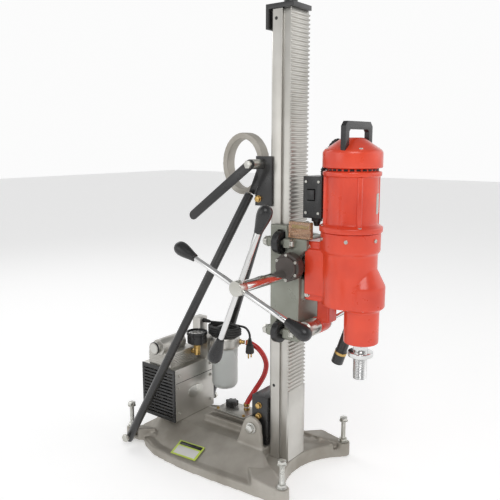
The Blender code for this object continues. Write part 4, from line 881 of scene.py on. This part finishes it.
def makeColumn():
    dressed("column_profile", "aluminium", "column", 0.0008)
    dressed("feed_rack", "aluminium", "column", 0.00035, 1)
    dressed("column_cap", "black_paint", "column", 0.0020, 3)
    dressed("foot_block", "black_paint", "column", 0.0020, 3)
    low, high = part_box("jack_screw")
    head = column["jackHead"]
    jack = threaded((0, 0, low.z), (0, 0, 1), column["jackRadius"], column["jackPitch"],
                    int((high.z - head - low.z) / column["jackPitch"]))
    lathe([(0, head), (0.0135, head), (0.0138, 0), (0, 0)], (0, 0, high.z - head), (0, 0, 1), 40,
          0.0015, jack)
    place(jack, "jack_screw_finished", "zinc_steel", "jack_screw", 30, ("jack_screw",))
    half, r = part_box("column_profile")[1].x, column["plug"]
    holes = bmesh.new()
    for z in column["plugs"]:
        for side in (-1, 1):
            lathe([(0, 0.0005), (r, 0.0005), (r + 0.0004, 0), (0, 0)], (side * half, column["plugY"], z),
                  (side, 0, 0), 32, 0.0002, holes)
    place(holes, "column_side_plugs", "black_rubber", "column")
    bolts = bmesh.new()
    low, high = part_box("foot_block")
    for x in (low.x, high.x):
        for z in (high.z - 0.024, high.z - 0.052):
            hexBolt((x, 0.056, z), (math.copysign(1, x), 0, 0), column["bolt"], 0.006, into=bolts)
    place(bolts, "foot_block_bolts", "brass", "column", 32)


stays = {"head": 0.029, "foot": 0.165, "start": 0.080, "past": 0.0138, "radius": 0.011}


def makeBracket():
    dressed("brace_bracket", "black_paint", "bracket", 0.0009)
    casting(copyOf("carry_ring"), "carry_ring_finished", "cast_aluminium", "bracket", 0.0016, 9,
            ("carry_ring",))
    dressed("bracket_pivot_bolt", "zinc_steel", "bracket", 0.0006)
    dressed("clamp_lever", "black_paint", "clamp_lever", 0.0014, 3)
    dressed("brace_head", "black_paint", "brace", 0.0012)
    bolts = bmesh.new()
    low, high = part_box("brace_bracket")
    for x in (low.x, high.x):
        hexBolt((x, 0.058, low.z + 0.016), (math.copysign(1, x), 0, 0), column["bolt"], 0.006, into=bolts)
    place(bolts, "bracket_lower_bolts", "brass", "bracket", 32)
    pivot, pin = middle("bracket_pivot_bolt"), middle("stay_pin_left")
    for side, name in ((-1, "left"), (1, "right")):
        foot = Vector((side * stays["foot"], pin.y, pin.z))
        origin = Vector((side * stays["head"], pivot.y, pivot.z))
        down = (foot - origin).normalized()
        stay = bar(origin + down * stays["start"], foot + down * stays["past"], stays["radius"], steps=48,
                   edge=0.0022)
        place(stay, f"stay_{name}_finished", "black_paint", "brace", stands=("stay_" + name,))


makeColumn()
makeBracket()
print("stage: column, bracket and stays")

# carriage: hammered casting, rollers, gear case, crank and level
crank = {"shaft": 0.0125, "shaftLength": 0.170, "spoke": 0.006, "reach": 0.190, "knob": 0.060, "first": 22.5,
         "hub": 0.0165, "hubHalf": 0.012}


def makeCarriage():
    casting(copyOf("carriage_frame"), "carriage_frame_finished", "hammered_grey", "carriage", 0.0019, 3,
            ("carriage_frame",))
    bolts = bmesh.new()
    for level in ("upper", "lower"):
        for name in ("left", "right"):
            node = f"roller_{level}_{name}"
            spot = middle(node)
            low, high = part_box(node)
            r = (high.z - low.z) / 2
            wide = (high.y - low.y) / 2
            wheel = lathe([(0.0066, wide - 0.0012), (0.012, wide - 0.0012), (0.013, wide), (r - 0.002, wide),
                           (r, wide - 0.002), (r, -wide + 0.002), (r - 0.002, -wide), (0.013, -wide),
                           (0.012, -wide + 0.0012), (0.0066, -wide + 0.0012), (0.0066, wide - 0.0012)],
                          spot, (0, 1, 0), 64, 0.0006)
            place(wheel, node + "_finished", "black_plastic", node, stands=(node,))
            hexBolt((spot.x, 0.0165, spot.z), (0, 1, 0), 0.0205, 0.0105, into=bolts)
            hexBolt((spot.x, -0.0458, spot.z), (0, -1, 0), 0.0180, 0.0070, into=bolts)
    place(bolts, "roller_axle_bolts", "zinc_steel", "carriage", 32)
    dressed("spirit_level", "amber_acrylic", "carriage", 0.0020, 3)
    low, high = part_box("spirit_level")
    x, z = (low.x + high.x) / 2, high.z - 0.012
    vial = bar((x, low.y + 0.008, z), (x, high.y - 0.008, z), 0.0045, steps=32)
    place(vial, "level_vial", "printed_label", "carriage")


gearCase = {"radius": 0.032, "lid": 0.0262, "z": 0.5325, "step": 0.006, "boss": 0.0052, "circle": 0.0286}


def makeGearCase():
    low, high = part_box("gear_case")
    y, z = middle("pinion_shaft").y, gearCase["z"]
    step, r, lid = low.x + gearCase["step"], gearCase["radius"], gearCase["lid"]
    case = lathe([(0, 0), (r, 0), (r, high.x - step), (0.0, high.x - step)], (high.x, y, z), (-1, 0, 0),
                 72, 0.003)
    lathe([(0, 0), (lid, 0), (lid - 0.0012, 0.0062), (0, 0.0062)], (step + 0.0003, y, z), (-1, 0, 0), 72,
          0.0012, case)
    screws = bmesh.new()
    for turn, dy, dz in ringSpots(gearCase["circle"], 6, 30):
        at = Vector((step, y + dy, z + dz))
        bar(at + Vector((0.014, 0, 0)), at + Vector((-0.0008, 0, 0)), gearCase["boss"], steps=24, into=case)
        socketScrew(at + Vector((-0.0008, 0, 0)), (-1, 0, 0), 0.0036, 0.0030, screws)
    place(case, "gear_case_finished", "brown_case", "carriage", stands=("gear_case",))
    place(screws, "gear_case_screws", "zinc_steel", "carriage", 32)


def makeCrank():
    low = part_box("handle_shaft")[0].x
    hubX, y, z = middle("handle_spokes")
    start, end, r = hubX + crank["hubHalf"] - low, crank["shaftLength"], crank["shaft"]
    shaft = lathe([(0, start), (r, start), (r, end), (0, end)], (low, y, z), (1, 0, 0), 64, 0.0008)
    place(shaft, "handle_shaft_tube", "chrome", "feed_handle", stands=("handle_shaft",))
    hub = lathe([(0, 0), (crank["hub"], 0), (crank["hub"], 0.024), (0.0128, 0.0245), (0, 0.0245)],
                (hubX - crank["hubHalf"], y, z), (1, 0, 0), 64, 0.0016)
    place(hub, "handle_hub", "zinc_steel", "feed_handle")
    centre = Vector((hubX, y, z))
    bars = bmesh.new()
    for i in range(4):
        turn = math.radians(crank["first"] + 90 * i)
        way = Vector((0, math.cos(turn), math.sin(turn)))
        bar(centre + way * 0.010, centre + way * (crank["reach"] - crank["knob"] + 0.012), crank["spoke"],
            steps=40, into=bars)
        profile = [(0, 0.060), (0.0060, 0.0594), (0.0112, 0.0565), (0.0146, 0.0510), (0.0160, 0.0430),
                   (0.0152, 0.0330), (0.0128, 0.0210), (0.0102, 0.0100), (0.0090, 0.0020), (0.0086, 0),
                   (0, 0)]
        knob = lathe(profile, centre + way * (crank["reach"] - crank["knob"]), way, 48, 0.004)
        place(knob, f"crank_knob_{i + 1}", "black_plastic", "feed_handle", 60)
    place(bars, "crank_spokes", "chrome", "feed_handle", stands=("handle_spokes",))


makeCarriage()
makeGearCase()
makeCrank()
print("stage: carriage and crank")

# motor: cap, housing, gearbox, spindle, switch and fittings
motor = {"slots": 26, "ribCircle": 0.0575, "rib": 0.0064, "capCircle": 0.0560, "flareCircle": 0.0632,
         "plateStrips": 9, "plateStep": 4.1, "plateFrom": -52}


def motorAxis():
    return middle("motor_cap")


def makeMotor():
    axis = motorAxis()
    low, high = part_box("motor_housing")
    capLow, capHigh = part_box("motor_cap")
    body = lathe([(0, high.z), (0.056, high.z), (0.056, high.z - 0.006), (0.0640, high.z - 0.0075),
                  (0.0640, high.z - 0.0165), (0.0580, high.z - 0.0190), (0.0580, low.z + 0.0180),
                  (0.0700, low.z + 0.0115), (0.0700, low.z), (0, low.z)], (axis.x, axis.y, 0), (0, 0, 1), 96,
                 0.0022)
    for turn, dx, dy in ringSpots(motor["ribCircle"], 4, 45):
        x, y = axis.x + dx, axis.y + dy
        bar((x, y, low.z + 0.004), (x, y, high.z - 0.018), motor["rib"], steps=32, into=body)
    place(body, "motor_housing_finished", "orange_paint", "carriage", stands=("motor_housing",))
    cap = lathe([(0, capHigh.z), (0.021, capHigh.z), (0.030, capHigh.z - 0.0045),
                 (0.0625, capHigh.z - 0.0265), (0.0655, capHigh.z - 0.0315), (0.0655, capLow.z),
                 (0, capLow.z)], (axis.x, axis.y, 0), (0, 0, 1), 96, 0.0035)
    for turn, dx, dy in ringSpots(motor["capCircle"], 4, 45):
        x, y = axis.x + dx, axis.y + dy
        bar((x, y, capLow.z + 0.003), (x, y, capHigh.z - 0.0245), 0.0078, 0.0068, steps=32, edge=0.0014,
            into=cap)
    place(cap, "motor_cap_finished", "orange_paint", "carriage", stands=("motor_cap",))
    screws = bmesh.new()
    for circle, z, height in ((motor["capCircle"], capHigh.z - 0.0248, 0.0032),
                              (motor["flareCircle"], low.z + 0.0112, 0.0036)):
        for turn, dx, dy in ringSpots(circle, 4, 45):
            socketScrew((axis.x + dx, axis.y + dy, z), (0, 0, 1), 0.0044, height, screws)
    place(screws, "motor_screws", "zinc_steel", "carriage", 32)
    # black vent slots round the band under the cap: the openings are drawn as black pieces, so their dark is
    # painted shade
    ventShade = bmesh.new()
    spot = Matrix.Translation((axis.x, axis.y, 0))
    for i in range(motor["slots"]):
        turn = spot @ Matrix.Rotation(2 * math.pi * i / motor["slots"], 4, "Z")
        slot = brick((0.0552, -0.0045, high.z - 0.0060), (0.0566, 0.0045, high.z - 0.0012), 0.0004)
        bmesh.ops.transform(slot, matrix=turn, verts=slot.verts)
        joined(ventShade, slot)
    place(ventShade, "motor_vent_shade", "black_rubber", "carriage", 32)
    plate = bmesh.new()
    for i in range(motor["plateStrips"]):
        turn = math.radians(motor["plateFrom"] - motor["plateStep"] * i)
        spot = Matrix.Translation((axis.x, axis.y, low.z + 0.063)) @ Matrix.Rotation(turn, 4, "Z")
        strip = brick((0.0577, -0.0022, -0.022), (0.0586, 0.0022, 0.022), 0)
        bmesh.ops.transform(strip, matrix=spot, verts=strip.verts)
        joined(plate, strip)
    place(plate, "motor_nameplate_blank", "zinc_steel", "carriage", 50)


def makeHandle():
    dressed("motor_handle", "black_plastic", "carriage", 0.0032, 4)
    dressed("switch_box", "black_plastic", "carriage", 0.0011, 2)
    dressed("switch_rocker", "black_plastic", "switch_rocker", 0.0006)
    low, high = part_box("switch_box")
    axis = motorAxis()
    capLow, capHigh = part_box("motor_cap")
    start = Vector((0.016, (low.y + high.y) / 2, high.z))
    points = [start, start + Vector((0, 0, 0.014))]
    for x, out, z in ((0.018, 0.074, capLow.z + 0.004), (0.018, 0.0725, capLow.z + 0.020),
                      (0.017, 0.066, capHigh.z - 0.022), (0.015, 0.050, capHigh.z - 0.008),
                      (0.012, 0.034, capHigh.z - 0.010)):
        points.append(Vector((x, axis.y + out, z)))
    route = smoothRoute(points, 6)
    ribs = bmesh.new()
    for i, (a, b) in enumerate(zip(route, route[1:])):
        bar(a, b + (b - a) * 0.15, 0.0058 if i % 2 else 0.0048, steps=24, edge=0, into=ribs)
    place(ribs, "motor_conduit", "black_rubber", "carriage", 30)
    gland = bmesh.new()
    at = Vector((-0.008, (low.y + high.y) / 2, low.z + 0.0005))
    hexBolt(at, (0, 0, -1), 0.022, 0.009, False, gland)
    lathe([(0, 0.020), (0.006, 0.020), (0.0095, 0.008), (0.0095, 0), (0, 0)], at, (0, 0, -1), 36, into=gland)
    place(gland, "motor_cable_gland", "black_plastic", "carriage", 32)
    screws = bmesh.new()
    for z in (low.z + 0.012, high.z - 0.012):
        for y in (low.y + 0.008, high.y - 0.008):
            socketScrew((low.x, y, z), (-1, 0, 0), 0.0032, 0.0022, screws)
    place(screws, "switch_box_screws", "zinc_steel", "carriage", 32)


gearbox = {"voxel": 0.0015, "passes": 3, "bandCircle": 0.0658, "noseCircle": 0.0445,
           "flangeBolts": (0.468, 0.523, 0.578)}


def makeGearbox():
    axis = motorAxis()
    low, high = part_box("gearbox_housing")
    nose = middle("spindle")
    shape = lathe([(0, high.z), (0.0665, high.z), (0.0665, high.z - 0.0425), (0.0610, high.z - 0.0480),
                   (0.0610, 0.4505), (0, 0.4505)], (axis.x, axis.y, 0), (0, 0, 1), 96, 0.003)
    lathe([(0, 0.540), (0.030, 0.540), (0.050, 0.500), (0.050, 0.4525), (0.039, 0.4440),
           (0.039, low.z + 0.0005), (0, low.z + 0.0005)], (nose.x, nose.y, 0), (0, 0, 1), 96, 0.003, shape)
    brick((-0.036, axis.y + 0.030, 0.4545), (0.036, -0.0702, 0.592), 0.003, into=shape)
    brick((-0.009, -0.120, 0.398), (0.029, -0.088, 0.462), 0.002, into=shape)
    bar((-0.010, -0.0845, 0.388), (0.030, -0.0845, 0.388), 0.020, steps=64, into=shape)
    for side in (-1, 1):
        brick((side * 0.040 - 0.0035, axis.y + 0.010, 0.470), (side * 0.040 + 0.0035, -0.074, 0.575), 0.001,
              into=shape)
    casting(shape, "gearbox_housing_finished", "orange_paint", "carriage", gearbox["voxel"],
            gearbox["passes"], ("gearbox_housing",))
    screws = bmesh.new()
    for turn, dx, dy in ringSpots(gearbox["bandCircle"], 6, 20):
        socketScrew((axis.x + dx, axis.y + dy, high.z - 0.0150), (math.cos(turn), math.sin(turn), 0), 0.0042,
                    0.0032, screws)
    for turn, dx, dy in ringSpots(gearbox["noseCircle"], 6, 30):
        socketScrew((nose.x + dx, nose.y + dy, 0.4535), (0, 0, -1), 0.0036, 0.0030, screws)
    for z in gearbox["flangeBolts"]:
        hexBolt((-0.0355, -0.078, z), (-1, 0, 0), 0.011, 0.005, into=screws)
    place(screws, "gearbox_screws", "zinc_steel", "carriage", 32)


spindleForm = {"thread": 0.015875, "pitch": 0.00363}


def makeSpindle():
    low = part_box("spindle")[0]
    x, y = middle("spindle").x, middle("spindle").y
    turns = int((0.3340 - low.z) / spindleForm["pitch"])
    top = low.z + turns * spindleForm["pitch"]
    shape = threaded((x, y, low.z), (0, 0, 1), spindleForm["thread"], spindleForm["pitch"], turns)
    lathe([(0, 0.3475), (0.0175, 0.3475), (0.0282, 0.3470), (0.0290, 0.3455), (0.0290, 0.3378),
           (0.0282, 0.3363), (0.0160, top - 0.0005), (0, top - 0.0005)], (x, y, 0), (0, 0, 1), 72,
          0.0012, shape)
    bar((x, y, 0.3474), (x, y, 0.3690), 0.0168, steps=64, into=shape)
    bar((x, y, 0.352), (x, y, 0.364), 0.0182, steps=6, edge=0.0008, into=shape)
    place(shape, "spindle_finished", "chrome", "spindle", 32, ("spindle",))
    coated("stator", "lacquered_laminations")
    for node in ("armature", "layshaft", "spindle_bearing", "pinion_shaft"):
        coated(node, "zinc_steel")


mountPivot = (-0.0845, 0.388)  # y and z of the barrel that the lever turns on


def makeMount():
    y, z = mountPivot
    barrel = lathe([(0, 0), (0.0150, 0), (0.0158, 0.004), (0.0198, 0.0065), (0.0198, 0.0505),
                    (0.0185, 0.0515), (0, 0.0515)], (-0.0618, y, z), (1, 0, 0), 64, 0.0008)
    bar((-0.012, y, z), (0.030, y, z), 0.008, steps=32, into=barrel)
    place(barrel, "mount_barrel_finished", "zinc_steel", "carriage", stands=("mount_barrel",))
    dome = lathe([(0, 0.0197), (0.0080, 0.0195), (0.0135, 0.0165), (0.0178, 0.0105), (0.0190, 0.0060),
                  (0.0190, 0), (0, 0)], (0.0303, y, z), (1, 0, 0), 64, 0.003)
    a, b = Vector((0.041, y - 0.001, z + 0.0005)), Vector((0.047, -0.137, 0.4212))
    bar(a, b, 0.0062, 0.0048, steps=32, into=dome)
    lathe([(0, 0.0085), (0.0038, 0.0080), (0.0064, 0.0050), (0.0066, 0.0020), (0.0048, 0), (0, 0)],
          b - (b - a).normalized() * 0.004, b - a, 36, 0.002, dome)
    place(dome, "mount_lever_finished", "chrome", "mount_lever", 50, ("mount_lever",))
    dressed("water_pipe", "black_paint", "carriage", 0.0010)
    ring = bar((0.045, -0.1252, 0.3195), (0.045, -0.1230, 0.3130), 0.0148, steps=40)
    place(ring, "water_coupling_ring", "brass", "carriage", 32)


makeMotor()
makeHandle()
makeGearbox()
makeSpindle()
makeMount()
print("stage: motor")
